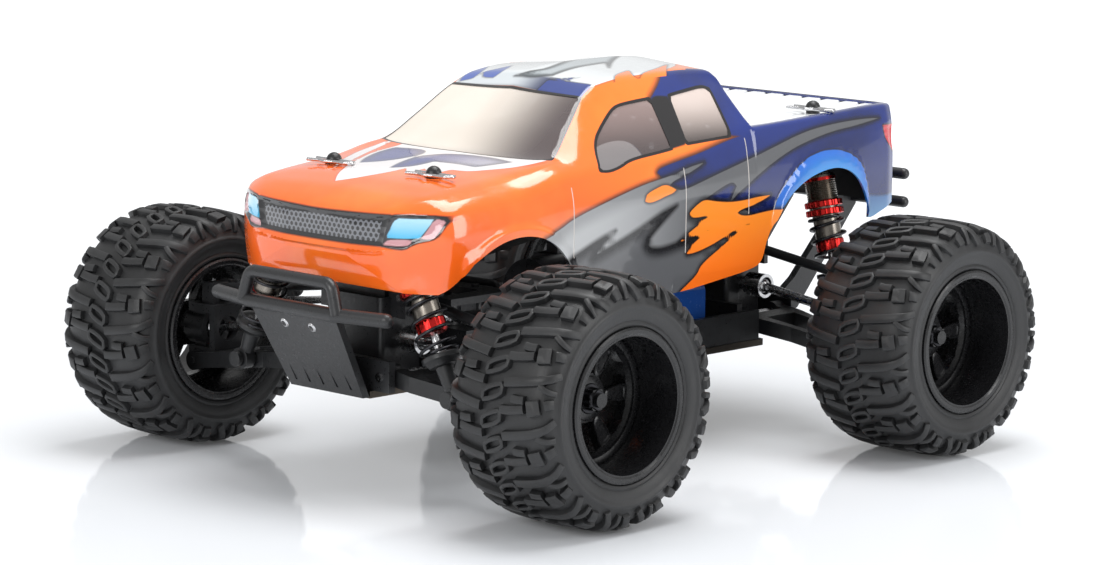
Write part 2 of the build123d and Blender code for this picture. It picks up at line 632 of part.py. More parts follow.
def tyre():
    half = TYRE_WIDTH / 2
    c = WHEEL_X
    r = TYRE_RADIUS
    right = [(half - 2.6, RIM_RADIUS), (half - 2.6, 26.3), (half - 0.4, 29.0), (half, 34.0), (half - 0.6, 38.5),
             (half - 3.0, 41.4), (half - 8.0, r - 0.4), (0, r)]
    left = [(-x, radius) for x, radius in reversed(right[:-1])]
    body = revolve_x([(c + x, radius) for x, radius in right + left])
    hollow = [(17, RIM_RADIUS - 1), (17, 27.0), (19.6, 31.0), (20.2, 34.5), (19.4, 37.4), (17.0, 39.0), (0, 40.0)]
    mirrored = [(-x, radius) for x, radius in reversed(hollow[:-1])]
    body -= revolve_x([(c + x, radius) for x, radius in hollow + mirrored])
    lug_count = 22
    for k in range(lug_count):
        angle = 360.0 * k / lug_count
        for side in (1, -1):
            turn = Pos(0, 0, AXLE_Z) * Rot(angle + (0 if side > 0 else 180.0 / lug_count), 0, 0)
            body -= turn * Pos(c + side * 19.0, 0, r + 0.2) * Box(9.0, 4.0, 3.2)
    return body


def rim():
    """Deep-dish rim with six spokes, stub axle with its driveshaft cup, hub hex and wheel nut."""
    c_in = WHEEL_IN_X + 1.1
    c_out = WHEEL_OUT_X - 1.1
    barrel = revolve_x([(c_in, RIM_LIP_RADIUS), (c_in, BARREL_R), (c_out, BARREL_R), (c_out, RIM_LIP_RADIUS),
                        (c_out - 1.4, RIM_LIP_RADIUS), (c_out - 1.4, RIM_RADIUS), (c_in + 1.4, RIM_RADIUS),
                        (c_in + 1.4, RIM_LIP_RADIUS)])
    disc = revolve_x([(99.6, AXLE_R), (99.6, BARREL_R), (105.5, BARREL_R), (105.5, 21.0), (103.2, 19.5),
                      (103.8, AXLE_R)])
    window = prism_window()
    for k in range(6):
        disc -= Pos(0, 0, AXLE_Z) * Rot(60 * k, 0, 0) * window
    axle = x_rod(92.0, 110.6, 0, AXLE_Z, AXLE_R)
    axle += x_rod(85.4, 92.4, 0, AXLE_Z, CUP_R)
    axle -= x_rod(85.0, 91.4, 0, AXLE_Z, DOGBONE_BALL_R + 0.1)
    hub_hex = hexagon(95.3, 99.6, 12.0) - x_rod(94, 101, 0, AXLE_Z, AXLE_R)
    nut = hexagon(103.8, 108.6, 7.0) + x_rod(103.8, 105.0, 0, AXLE_Z, 4.6)
    nut -= x_rod(103, 110, 0, AXLE_Z, AXLE_R)
    return barrel, disc, axle, hub_hex, nut


def prism_window():
    """Outline of one opening between two spokes, in y and z about the axle, through the rim's disc."""
    points = [(-2.9, 8.2), (2.9, 8.2), (7.6, 17.6), (5.0, 19.0), (0, 19.8), (-5.0, 19.0), (-7.6, 17.6)]
    return prism_yz(points, 95, 110)


def hexagon(x0, x1, across_flats):
    radius = across_flats / math.sqrt(3)
    points = [(radius * math.cos(math.radians(60 * k)), AXLE_Z + radius * math.sin(math.radians(60 * k)))
              for k in range(6)]
    return prism_yz(points, x0, x1)


# ---- steering ----
def servo_saver():
    saver = z_rod(BELL_X, BELL_Y, BELL_Z[0], BELL_Z[2], 5.0)
    saver += block(BELL_X - 2.5, BELL_X + 2.5, BELL_Y, BELL_Y + STEER_ARM, BELL_Z[1], BELL_Z[2])
    saver += z_rod(BELL_X, BELL_Y + STEER_ARM, BELL_Z[1], BELL_Z[2], 3.2)
    saver += z_rod(BELL_X, BELL_Y + STEER_ARM, BELL_Z[2], LINK_PLATE_Z[1] + 1.0, 1.5)
    saver -= z_rod(BELL_X, BELL_Y, BELL_Z[0], BELL_Z[1], 2.5 + RUN)
    return saver


def idler_bellcrank():
    idler = mirror(servo_saver(), about=Plane.YZ)
    return idler - z_rod(-BELL_X, BELL_Y, BELL_Z[0], BELL_Z[2], 2.5 + RUN)


def steering_link():
    joint_y = BELL_Y + STEER_ARM
    z0, z1 = LINK_PLATE_Z
    plate = block(-27, 27, joint_y - 4, joint_y + 4, z0, z1)
    for side in (1, -1):
        plate += block(side * 19, side * 27, TIE_Y - 2.5, joint_y, z0, z1)
        plate += z_rod(side * TIE_IN[0], TIE_Y, TIE_IN[1], z1, 1.0)
        plate += Pos(side * TIE_IN[0], TIE_Y, TIE_IN[1]) * Sphere(BALL_R)
        plate -= z_rod(side * BELL_X, joint_y, z0, z1, 1.5 + RUN)
    return plate


# ---- fasteners, hinge pins and differentials ----
def steel_hardware():
    pieces = []
    for end in (-1, 1):
        key = "f" if end < 0 else "r"
        pieces.append(differential(end))
        for side in (1, -1):
            pieces.append(place(y_rod(ARM_IN, -17.6, 17.6, HINGE_PIN_R), side, end))
            pieces.append(place(y_rod(LINK_IN, -5.2, 5.2, LINK_PIN_R), side, end))
            top = DAMPER_TOP[key]
            screw = y_rod(top, TOWER_Y[0], DAMPER_Y + 2.7, HINGE_PIN_R)
            screw += y_rod(top, DAMPER_Y + 2.7, DAMPER_Y + 4.4, SCREW_HEAD_R)
            pieces.append(place(screw, side, end))
    for x, y in PLATE_SCREWS:
        head = z_rod(x, y, PLATE_BOTTOM, PLATE_BOTTOM + SCREW_HEAD_H, SCREW_HEAD_R)
        pieces.append(z_rod(x, y, PLATE_BOTTOM, PLATE_TOP, SCREW_R) + head)
    pieces.append(z_rod(-BELL_X, BELL_Y, PLATE_TOP, BELL_Z[2], 2.5))
    return pieces


def wiring():
    """Held leads: two from the battery over the driveshaft to the speed controller, three to the motor."""
    pieces = []
    for x, reach, high in ((16.0, 14.0, 62.0), (22.0, 20.0, 66.0)):
        points = [(x, -36.0, 52.0), (x, -40.5, 52.0), (x * 0.6, -43.0, high), (-reach * 0.6, -45.0, high),
                  (-reach, -45.4, 45.0), (-reach, -42.0, 45.0)]
        pieces.append(tube_path(points, 2.0, 1.3))
    for x in (-12.0, -GEAR_DISTANCE, -24.6):
        pieces.append(rod((x, -2.0, 42.4), (x, MOTOR_Y[0], 42.4), 1.1))
    return pieces


# ---- body shell ----
def full_section(y, half):
    """Closed section wire from a half-section."""
    points = list(half) + [(-x, z) for x, z in reversed(half[:-1])]
    return Wire.make_polygon([Vector(x, y, z) for x, z in points], close=True)


def inset(half, wall, open_below):
    """The half-section moved inwards by the wall. open_below carries its lower edge far down."""
    result = []
    for k, (x, z) in enumerate(half):
        if k == 0:
            result.append((x - wall, z - 20.0 if open_below else z + wall))
            continue
        if k == len(half) - 1:
            result.append((0.0, z - wall))
            continue
        before = (x - half[k - 1][0], z - half[k - 1][1])
        after = (half[k + 1][0] - x, half[k + 1][1] - z)
        before_n = math.hypot(*before)
        after_n = math.hypot(*after)
        nx = -before[1] / before_n - after[1] / after_n
        nz = before[0] / before_n + after[0] / after_n
        size = math.hypot(nx, nz)
        cosine = (nx * -before[1] + nz * before[0]) / (size * before_n)
        result.append((x + wall * nx / (size * cosine), z + wall * nz / (size * cosine)))
    return result


def body_shell():
    outer = Solid.make_loft([full_section(y, half) for y, half in SHELL_SECTIONS], ruled=True)
    inner_wires = []
    for index, (y, half) in enumerate(SHELL_SECTIONS):
        last = index == len(SHELL_SECTIONS) - 1
        nose = index < 3
        shifted = y + SHELL_WALL if index < 5 else y
        if last:
            shifted = y - SHELL_WALL
        inner = inset(half, SHELL_WALL, not nose)
        inner_wires.append(full_section(shifted, inner))
        if index == 2:
            inner_wires.append(full_section(shifted + 0.2, inset(half, SHELL_WALL, True)))
    shell = outer - Solid.make_loft(inner_wires, ruled=True)
    edge = [Edge.make_spline([Vector(-70, y, z) for y, z in FRONT_ARCH])]
    edge += Wire.make_polygon([Vector(-70, y, z) for y, z in SILL], close=False).edges()
    edge += [Edge.make_spline([Vector(-70, y, z) for y, z in REAR_ARCH])]
    edge += Wire.make_polygon([Vector(-70, y, z) for y, z in TAIL_EDGE], close=False).edges()
    below = extrude(Face(Wire(edge)), amount=140, dir=(1, 0, 0))
    shell -= below
    for x, y, _, head in POSTS.values():
        for side in (1, -1):
            shell -= z_rod(side * x, y, head - 8, head + 8, POST_R + 0.8)
    for angle in (0, FRONT_DAMPER_SWING):
        for relief in both_sides(collar_room(angle)):
            shell -= relief
    return shell


def collar_room(angle):
    """Room inside the nose for the front spring collars, with the damper swung outward by an angle."""
    x, z = DAMPER_TOP["f"]
    y = -AXLE_Y - DAMPER_Y
    start, end, radius = DAMPER_COLLARS[0][0], DAMPER_COLLARS[1][1], COLLAR_R + COLLAR_ROOM
    foot = DAMPER_FOOT["f"]
    slope = math.atan2(foot[0] - x, z - foot[1]) + math.radians(angle)
    ends = [(x + s * math.sin(slope), y, z - s * math.cos(slope)) for s in (start - 0.5, end + 0.5)]
    return rod(*ends, radius)


# ---- assembly ----
def build():
    node("chassis_plate", chassis_plate())
    node("side_guards", *both_sides(side_guard()))
    node("gearbox_cases", gearbox_case(-1), gearbox_case(1))
    node("shock_towers", shock_tower("f"), shock_tower("r"))
    posts = []
    clips = []
    for x, y, foot, head in POSTS.values():
        for side in (1, -1):
            posts.append(body_post(side * x, y, foot, head))
            clips.append(body_clip(side * x, y, head))
    node("body_posts", *posts)
    node("body_clips", *clips)
    node("front_bumper", front_bumper())
    node("rear_bumper", rear_bumper())
    node("battery_pack", battery())
    node("electronics", speed_controller(), receiver())
    node("steering_servo", servo())
    node("motor", *motor_and_mount())
    node("steel_hardware", *steel_hardware())
    node("wiring", *wiring())
    node("body_shell", body_shell())
    node("servo_saver", servo_saver())
    node("idler_bellcrank", idler_bellcrank())
    node("steering_link", steering_link())
    node("centre_driveshaft", centre_driveshaft())
    node("motor_pinion", motor_pinion())
    for corner in ("fl", "fr", "rl", "rr"):
        key = corner[0]
        end = -1 if key == "f" else 1
        side = 1 if corner[1] == "l" else -1
        pieces = {
            "tyre": [tyre()],
            "rim": rim(),
            "lower_arm": lower_arm(key),
            "hub_carrier": [front_carrier()] if key == "f" else rear_carrier(),
            "upper_link": [upper_link()],
            "dogbone": [dogbone()],
            "shock_cylinder": [shock_cylinder(key)],
            "spring": [spring(key)],
            "shock_rod": [shock_rod(key)],
        }
        if key == "f":
            pieces["knuckle"] = knuckle()
            rod_shape = Pos(0, TIE_Y, 0) * tie_rod()
            node(f"tie_rod_{corner}", rod_shape if side > 0 else mirror(rod_shape, about=Plane.YZ))
        for name, shapes in pieces.items():
            node(f"{name}_{corner}", *[place(shape, side, end) for shape in shapes])


build()
os.makedirs("parts", exist_ok=True)
for name, solids in NODES.items():
    shape = Compound(children=[Pos(0, FRAME_SHIFT_Y, 0) * solid for solid in solids])
    export_step(shape, f"parts/{name}.step")
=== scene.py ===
"""Looks of the RC monster truck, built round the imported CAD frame.

Shapes are drawn in millimetres with y = 0 midway between the axles, as on a side-view drawing, and
turned into the frame's metres by to_frame(). Front is -Y, the truck's left side is +X.
"""
import math

import bpy
import numpy as np
from mathutils import Matrix, Vector


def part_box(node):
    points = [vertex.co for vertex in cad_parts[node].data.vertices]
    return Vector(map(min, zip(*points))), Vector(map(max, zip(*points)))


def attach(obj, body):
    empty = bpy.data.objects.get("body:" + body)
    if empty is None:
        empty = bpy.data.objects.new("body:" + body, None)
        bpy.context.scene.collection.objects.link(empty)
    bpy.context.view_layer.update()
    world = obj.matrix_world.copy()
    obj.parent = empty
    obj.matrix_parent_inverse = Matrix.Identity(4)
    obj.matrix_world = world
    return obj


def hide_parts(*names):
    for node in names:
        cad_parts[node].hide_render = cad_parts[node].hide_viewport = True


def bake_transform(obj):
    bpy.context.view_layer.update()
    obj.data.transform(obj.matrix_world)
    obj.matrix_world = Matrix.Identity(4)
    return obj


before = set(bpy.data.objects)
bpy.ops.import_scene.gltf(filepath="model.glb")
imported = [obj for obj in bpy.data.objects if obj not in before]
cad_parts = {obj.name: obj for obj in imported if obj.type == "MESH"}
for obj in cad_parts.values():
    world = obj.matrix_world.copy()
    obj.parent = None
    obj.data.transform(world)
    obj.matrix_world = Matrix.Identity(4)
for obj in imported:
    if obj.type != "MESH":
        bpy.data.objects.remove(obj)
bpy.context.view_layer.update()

MM = 0.001
CORNERS = ("fl", "fr", "rl", "rr")


def box_mm(node):
    """Lowest and highest corner of a CAD node, in millimetres of the frame."""
    low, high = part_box(node)
    return np.array(low) / MM, np.array(high) / MM


def wheel_centre(corner):
    low, high = box_mm(f"tyre_{corner}")
    return (low + high) / 2


SHIFT_Y = (wheel_centre("fl")[1] + wheel_centre("rl")[1]) / 2


def to_frame(points):
    """Drawing millimetres to frame metres."""
    return (np.asarray(points, float) + (0.0, SHIFT_Y, 0.0)) * MM


# ---------------------------------------------------------------- camera, light and floor
CAMERA_POINT = (944.07, -971.73, 275.68)
CAMERA_AZIMUTH = 44.266
CAMERA_ELEVATION = 9.0385
CAMERA_ROLL = 0.5443
CAMERA_LENS = 122.85
WORLD_LIGHT = 0.62
# Name, place, target, size and power
SOFT_BOXES = [
    ("top", (0.05, 0.15, 1.0), (0, 0, 0.05), (0.8, 0.6), 9.0),
    ("left", (1.1, 0.35, 0.45), (0, 0, 0.06), (0.4, 0.8), 5.0),
    ("front", (0.1, -1.2, 0.6), (0, 0, 0.06), (0.8, 0.4), 5.5),
]
FLOOR_SIZE = 30.0


def make_camera():
    azimuth = math.radians(CAMERA_AZIMUTH)
    elevation = math.radians(CAMERA_ELEVATION)
    roll = math.radians(CAMERA_ROLL)
    level = math.cos(elevation)
    back = Vector((math.sin(azimuth) * level, -math.cos(azimuth) * level, math.sin(elevation)))
    right = Vector((math.cos(azimuth), math.sin(azimuth), 0.0))
    up = back.cross(right)
    rolled_right = right * math.cos(roll) + up * math.sin(roll)
    rolled_up = up * math.cos(roll) - right * math.sin(roll)
    data = bpy.data.cameras.new("camera")
    data.lens = CAMERA_LENS
    data.sensor_width = 36.0
    data.clip_end = 50.0
    camera = bpy.data.objects.new("camera", data)
    rotation = Matrix((rolled_right, rolled_up, back)).transposed().to_4x4()
    camera.matrix_world = Matrix.Translation(Vector(to_frame(CAMERA_POINT))) @ rotation
    bpy.context.scene.collection.objects.link(camera)
    bpy.context.scene.camera = camera


def area_light(name, location, target, size, power):
    data = bpy.data.lights.new(name, "AREA")
    data.shape = "RECTANGLE"
    data.size, data.size_y = size
    data.energy = power
    light = bpy.data.objects.new(name, data)
    light.location = location
    light.rotation_mode = "QUATERNION"
    light.rotation_quaternion = (Vector(target) - Vector(location)).to_track_quat("-Z", "Y")
    bpy.context.scene.collection.objects.link(light)


def make_studio():
    """White studio: a white backdrop, soft boxes above and beside, and a glossy pale floor that glows with
    painted light, faint near the truck and brighter away from it.
    """
    scene = bpy.context.scene
    scene.view_settings.view_transform = "Standard"
    world = bpy.data.worlds.new("studio")
    scene.world = world
    world.use_nodes = True
    tree = world.node_tree
    background = tree.nodes["Background"]
    background.inputs["Color"].default_value = (1.0, 1.0, 1.0, 1.0)
    rays = tree.nodes.new("ShaderNodeLightPath")
    level = tree.nodes.new("ShaderNodeMapRange")
    level.inputs["To Min"].default_value = WORLD_LIGHT
    level.inputs["To Max"].default_value = 1.0
    tree.links.new(rays.outputs["Is Camera Ray"], level.inputs["Value"])
    tree.links.new(level.outputs[0], background.inputs["Strength"])
    for name, *place_and_power in SOFT_BOXES:
        area_light(f"softbox_{name}", *place_and_power)
    bpy.ops.mesh.primitive_plane_add(size=FLOOR_SIZE, location=(0, 0, 0))
    floor = bpy.context.object
    floor.name = "floor"
    gloss = Paint("floor_gloss_and_glow", (0.84, 0.865, 0.90), 0.07)
    gloss.set("Specular IOR Level", 0.5)
    # Painted light: the floor glows, faintly near the truck and up to 0.55 strength away from it.
    away = gloss.node("ShaderNodeVectorMath", {0: gloss.object_point()}, operation="LENGTH").outputs["Value"]
    gloss.set("Emission Color", (1.0, 1.0, 1.0, 1.0))
    gloss.set("Emission Strength", gloss.step(away, 0.15, 0.95, (0.04, 0.55)))
    floor.data.materials.append(gloss.material)


# ---------------------------------------------------------------- shader helpers
class Paint:
    """One node material. Methods add nodes and return the socket that carries the result."""

    def __init__(self, name, colour=(0.5, 0.5, 0.5), roughness=0.5, metallic=0.0, **sockets):
        self.material = bpy.data.materials.new(name)
        self.material.use_nodes = True
        self.tree = self.material.node_tree
        self.shader = self.tree.nodes["Principled BSDF"]
        self.set("Base Color", (*colour, 1.0))
        self.set("Roughness", roughness)
        self.set("Metallic", metallic)
        for name_, value in sockets.items():
            self.set(name_.replace("_", " "), value)

    def set(self, socket, value):
        target = self.shader.inputs[socket]
        if isinstance(value, bpy.types.NodeSocket):
            self.tree.links.new(value, target)
        else:
            target.default_value = value

    def node(self, kind, inputs=None, **settings):
        node = self.tree.nodes.new(kind)
        for key, value in settings.items():
            setattr(node, key, value)
        for key, value in (inputs or {}).items():
            if isinstance(value, bpy.types.NodeSocket):
                self.tree.links.new(value, node.inputs[key])
            else:
                node.inputs[key].default_value = value
        return node

    def math(self, operation, a, b=0.0):
        return self.node("ShaderNodeMath", {0: a, 1: b}, operation=operation).outputs[0]

    def mix(self, factor, a, b):
        inputs = {"Factor": factor}
        node = self.node("ShaderNodeMix", inputs, data_type="RGBA")
        for key, value in ((6, a), (7, b)):
            if isinstance(value, bpy.types.NodeSocket):
                self.tree.links.new(value, node.inputs[key])
            else:
                node.inputs[key].default_value = (*value, 1.0)
        return node.outputs[2]

    def object_point(self):
        return self.node("ShaderNodeTexCoord").outputs["Object"]

    def axis(self, name):
        """One coordinate of the point, in drawing millimetres."""
        split = self.node("ShaderNodeSeparateXYZ", {0: self.object_point()})
        value = self.math("DIVIDE", split.outputs["XYZ".index(name)], MM)
        return self.math("SUBTRACT", value, SHIFT_Y) if name == "Y" else value

    def attribute(self, name):
        return self.node("ShaderNodeAttribute", attribute_name=name).outputs["Fac"]

    def noise(self, scale, detail=3.0, roughness=0.6, stretch=None):
        point = self.object_point()
        if stretch:
            point = self.node("ShaderNodeMapping", {"Vector": point, "Scale": stretch}).outputs[0]
        inputs = {"Vector": point, "Scale": scale, "Detail": detail, "Roughness": roughness}
        return self.node("ShaderNodeTexNoise", inputs).outputs["Fac"]

    def step(self, value, low, high, out=(0.0, 1.0)):
        """Smooth step: out[0] below low, out[1] above high."""
        inputs = {"Value": value, "From Min": low, "From Max": high, "To Min": out[0], "To Max": out[1]}
        node = self.node("ShaderNodeMapRange", inputs, interpolation_type="SMOOTHSTEP")
        return node.outputs[0]

    def inside(self, name, softness=0.25):
        """1 inside the region whose signed distance is the attribute, 0 outside."""
        return self.step(self.attribute(name), -softness, softness, (1.0, 0.0))

    def bump(self, height, depth_mm, strength=1.0):
        inputs = {"Height": height, "Distance": depth_mm * MM, "Strength": strength}
        normal = self.node("ShaderNodeBump", inputs).outputs[0]
        self.set("Normal", normal)


def moulded_plastic(name, colour, roughness=0.45, grain=900.0, depth=0.06):
    """Moulded plastic: fine grain, faint flow marks and uneven gloss."""
    paint = Paint(name, colour, roughness)
    flow = paint.noise(35.0, 2.0)
    fine = paint.noise(grain, 4.0, 0.7)
    dark = tuple(c * 0.75 for c in colour)
    light = tuple(min(1.0, c * 1.35 + 0.004) for c in colour)
    paint.set("Base Color", paint.mix(flow, dark, light))
    paint.set("Roughness", paint.step(fine, 0.25, 0.75, (roughness - 0.1, roughness + 0.12)))
    paint.bump(fine, depth, 0.5)
    return paint.material


def machined_metal(name, colour, roughness=0.25, stretch=(1.0, 1.0, 1.0), depth=0.02):
    """Metal with fine tool marks along one direction."""
    paint = Paint(name, colour, roughness, 1.0)
    marks = paint.noise(700.0, 3.0, 0.6, stretch)
    cloud = paint.noise(60.0, 2.0)
    dark = tuple(c * 0.78 for c in colour)
    paint.set("Base Color", paint.mix(cloud, dark, colour))
    paint.set("Roughness", paint.step(marks, 0.2, 0.8, (roughness - 0.08, roughness + 0.12)))
    paint.bump(marks, depth, 0.4)
    return paint.material


def rubber(name, colour=(0.0115, 0.0118, 0.0125)):
    """Matte tyre rubber with a chalky bloom in random patches and a fine pebble."""
    paint = Paint(name, colour, 0.62)
    pebble = paint.noise(1300.0, 4.0, 0.7)
    bloom = paint.noise(55.0, 4.0, 0.65)
    worn = paint.mix(paint.step(bloom, 0.35, 0.7), colour, tuple(c * 1.9 for c in colour))
    paint.set("Base Color", worn)
    paint.set("Roughness", paint.step(bloom, 0.3, 0.7, (0.42, 0.6)))
    paint.bump(pebble, 0.09, 0.6)
    return paint.material


# ---------------------------------------------------------------- mesh helpers
def new_mesh(name, vertices, faces, materials, body, replaces=(), face_materials=None, sharp=35.0,
             attributes=None):
    """A mesh piece in place, riding on its CAD body. Vertices are drawing millimetres."""
    mesh = bpy.data.meshes.new(name)
    mesh.from_pydata(to_frame(vertices).tolist(), [], [tuple(int(i) for i in f) for f in faces])
    for material in materials if isinstance(materials, (list, tuple)) else [materials]:
        mesh.materials.append(material)
    if face_materials is not None:
        mesh.polygons.foreach_set("material_index", np.asarray(face_materials, np.int32))
    for key, values in (attributes or {}).items():
        layer = mesh.attributes.new(key, "FLOAT", "POINT")
        layer.data.foreach_set("value", np.asarray(values, np.float32))
    mesh.shade_smooth()
    mesh.set_sharp_from_angle(angle=math.radians(sharp))
    mesh.update()
    piece = bpy.data.objects.new(name, mesh)
    bpy.context.scene.collection.objects.link(piece)
    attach(piece, body)
    if replaces:
        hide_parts(*replaces)


class Builder:
    """Collects the vertices and faces of one piece."""

    def __init__(self):
        self.vertices = []
        self.faces = []

    def add(self, vertices, faces):
        start = len(self.vertices)
        self.vertices.extend([tuple(v) for v in vertices])
        self.faces.extend([tuple(start + i for i in f) for f in faces])

    def lathe(self, origin, axis, profile, steps=64, closed=False, wave=None):
        """Turn (distance along axis, radius) points. wave(angle, k) adds to the radius of point k."""
        origin = np.asarray(origin, float)
        axis = np.asarray(axis, float) / np.linalg.norm(axis)
        side = np.cross(axis, (0.0, 1.0, 0.0) if abs(axis[1]) < 0.9 else (1.0, 0.0, 0.0))
        side /= np.linalg.norm(side)
        third = np.cross(axis, side)
        vertices = []
        for k, (along, radius) in enumerate(profile):
            for i in range(steps):
                angle = 2 * math.pi * i / steps
                r = radius + (wave(angle, k) if wave else 0.0)
                vertices.append(origin + axis * along + (side * math.cos(angle) + third * math.sin(angle))
                                * r)
        rows = len(profile)
        faces = []
        for k in range(rows if closed else rows - 1):
            for i in range(steps):
                j = (i + 1) % steps
                n = (k + 1) % rows
                faces.append((k * steps + i, k * steps + j, n * steps + j, n * steps + i))
        if not closed:
            for k in (0, rows - 1):
                if profile[k][1] > 1e-6:
                    loop = [k * steps + i for i in range(steps)]
                    faces.append(tuple(reversed(loop)) if k == 0 else tuple(loop))
        self.add(vertices, faces)

    def tube(self, path, radius, sides=10):
        """A round tube along points, with frames carried from point to point."""
        path = [np.asarray(p, float) for p in path]
        tangents = []
        for i in range(len(path)):
            a = path[max(0, i - 1)]
            b = path[min(len(path) - 1, i + 1)]
            tangents.append((b - a) / np.linalg.norm(b - a))
        normal = np.cross(tangents[0], (0.0, 0.0, 1.0) if abs(tangents[0][2]) < 0.9 else (1.0, 0.0, 0.0))
        vertices = []
        for point, tangent in zip(path, tangents):
            normal = normal - tangent * np.dot(normal, tangent)
            normal /= np.linalg.norm(normal)
            across = np.cross(tangent, normal)
            for i in range(sides):
                angle = 2 * math.pi * i / sides
                vertices.append(point + (normal * math.cos(angle) + across * math.sin(angle)) * radius)
        faces = []
        for k in range(len(path) - 1):
            for i in range(sides):
                j = (i + 1) % sides
                faces.append((k * sides + i, k * sides + j, (k + 1) * sides + j, (k + 1) * sides + i))
        faces.append(tuple(reversed(range(sides))))
        faces.append(tuple((len(path) - 1) * sides + i for i in range(sides)))
        self.add(vertices, faces)

    def piece(self, name, material, body, slot, replaces=(), sharp=35.0):
        new_mesh(name, self.vertices, self.faces, material, body, replaces, None, sharp)


def smooth_outline(points, rounds=2, sharp_turn=62.0, closed=True):
    """Cut the corners of an outline again and again, but keep its sharp tips."""
    points = [np.asarray(p, float) for p in points]
    for _ in range(rounds):
        count = len(points)
        result = []
        for i, point in enumerate(points):
            if not closed and i in (0, count - 1):
                result.append(point)
                continue
            before = points[i - 1] - point
            after = points[(i + 1) % count] - point
            cosine = np.dot(before, after) / max(np.linalg.norm(before) * np.linalg.norm(after), 1e-9)
            turn = 180.0 - math.degrees(math.acos(max(-1.0, min(1.0, cosine))))
            if turn > sharp_turn:
                result.append(point)
            else:
                result += [point + before * 0.25, point + after * 0.25]
        points = result
    return np.array(points)


def signed_distance(points, outline):
    """Distance of 2-D points to a closed outline, negative inside."""
    points = np.asarray(points, float)
    outline = np.asarray(outline, float)
    best = np.full(points.shape[:-1], 1e9)
    inside = np.zeros(points.shape[:-1], bool)
    for a, b in zip(outline, np.roll(outline, -1, axis=0)):
        edge = b - a
        rel = points - a
        t = np.clip((rel @ edge) / max(edge @ edge, 1e-12), 0.0, 1.0)
        gap = rel - t[..., None] * edge
        best = np.minimum(best, np.hypot(gap[..., 0], gap[..., 1]))
        crosses = (a[1] > points[..., 1]) != (b[1] > points[..., 1])
        with np.errstate(divide="ignore", invalid="ignore"):
            at = a[0] + (points[..., 1] - a[1]) * edge[0] / edge[1] if edge[1] else np.full(best.shape, -1e9)
        inside ^= crosses & (points[..., 0] < at)
    return np.where(inside, -best, best)


# ---------------------------------------------------------------- materials
MATERIALS = {
    "plate": machined_metal("anodised_plate", (0.10, 0.085, 0.07), 0.34, (1.0, 0.06, 1.0)),
    "nylon": moulded_plastic("black_nylon", (0.009, 0.0095, 0.0105), 0.36),
    "nylon_grey": moulded_plastic("dark_grey_nylon", (0.016, 0.0165, 0.018), 0.34),
    "rim": moulded_plastic("rim_black", (0.007, 0.007, 0.008), 0.26, 500.0, 0.004),
    "steel": machined_metal("bright_steel", (0.62, 0.62, 0.63), 0.22),
    "dark_steel": machined_metal("black_steel", (0.055, 0.055, 0.06), 0.3),
    "tyre": rubber("tyre_rubber"),
    "bronze": machined_metal("bronze_anodised", (0.26, 0.235, 0.205), 0.27, (1.0, 1.0, 0.1)),
    "red_anodised": machined_metal("red_anodised", (0.62, 0.028, 0.025), 0.24),
    "gear": moulded_plastic("gear_nylon", (0.035, 0.035, 0.036), 0.5),
    "battery": moulded_plastic("battery_wrap", (0.01, 0.06, 0.27), 0.2, 300.0, 0.12),
    "can": machined_metal("motor_can", (0.03, 0.03, 0.033), 0.32, (1.0, 0.08, 1.0)),
    "case": moulded_plastic("electronics_case", (0.02, 0.02, 0.024), 0.42),
    "wire_black": moulded_plastic("wire_black", (0.012, 0.012, 0.013), 0.42),
    "brass": machined_metal("brass", (0.62, 0.42, 0.15), 0.25),
    "servo": moulded_plastic("servo_case", (0.014, 0.014, 0.016), 0.32),
}

CAD_LOOKS = {
    "chassis_plate": "plate", "side_guards": "nylon", "gearbox_cases": "nylon_grey", "shock_towers": "nylon",
    "body_posts": "nylon", "body_clips": "steel", "front_bumper": "nylon_grey", "rear_bumper": "nylon_grey",
    "battery_pack": "battery", "electronics": "case", "steering_servo": "servo", "motor": "can",
    "steel_hardware": "steel", "wiring": "wire_black", "servo_saver": "nylon_grey",
    "idler_bellcrank": "nylon_grey", "steering_link": "nylon", "centre_driveshaft": "gear",
    "motor_pinion": "brass", "tie_rod": "steel", "knuckle": "nylon_grey", "lower_arm": "nylon",
    "hub_carrier": "nylon_grey", "upper_link": "nylon", "dogbone": "steel", "shock_cylinder": "bronze",
    "spring": "dark_steel", "shock_rod": "steel", "rim": "rim", "tyre": "tyre", "body_shell": "nylon",
}


def dress_cad():
    """Give every CAD node that stays visible its material."""
    for name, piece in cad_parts.items():
        key = name if name in CAD_LOOKS else name[:-3]
        piece.data.materials.clear()
        piece.data.materials.append(MATERIALS[CAD_LOOKS[key]])


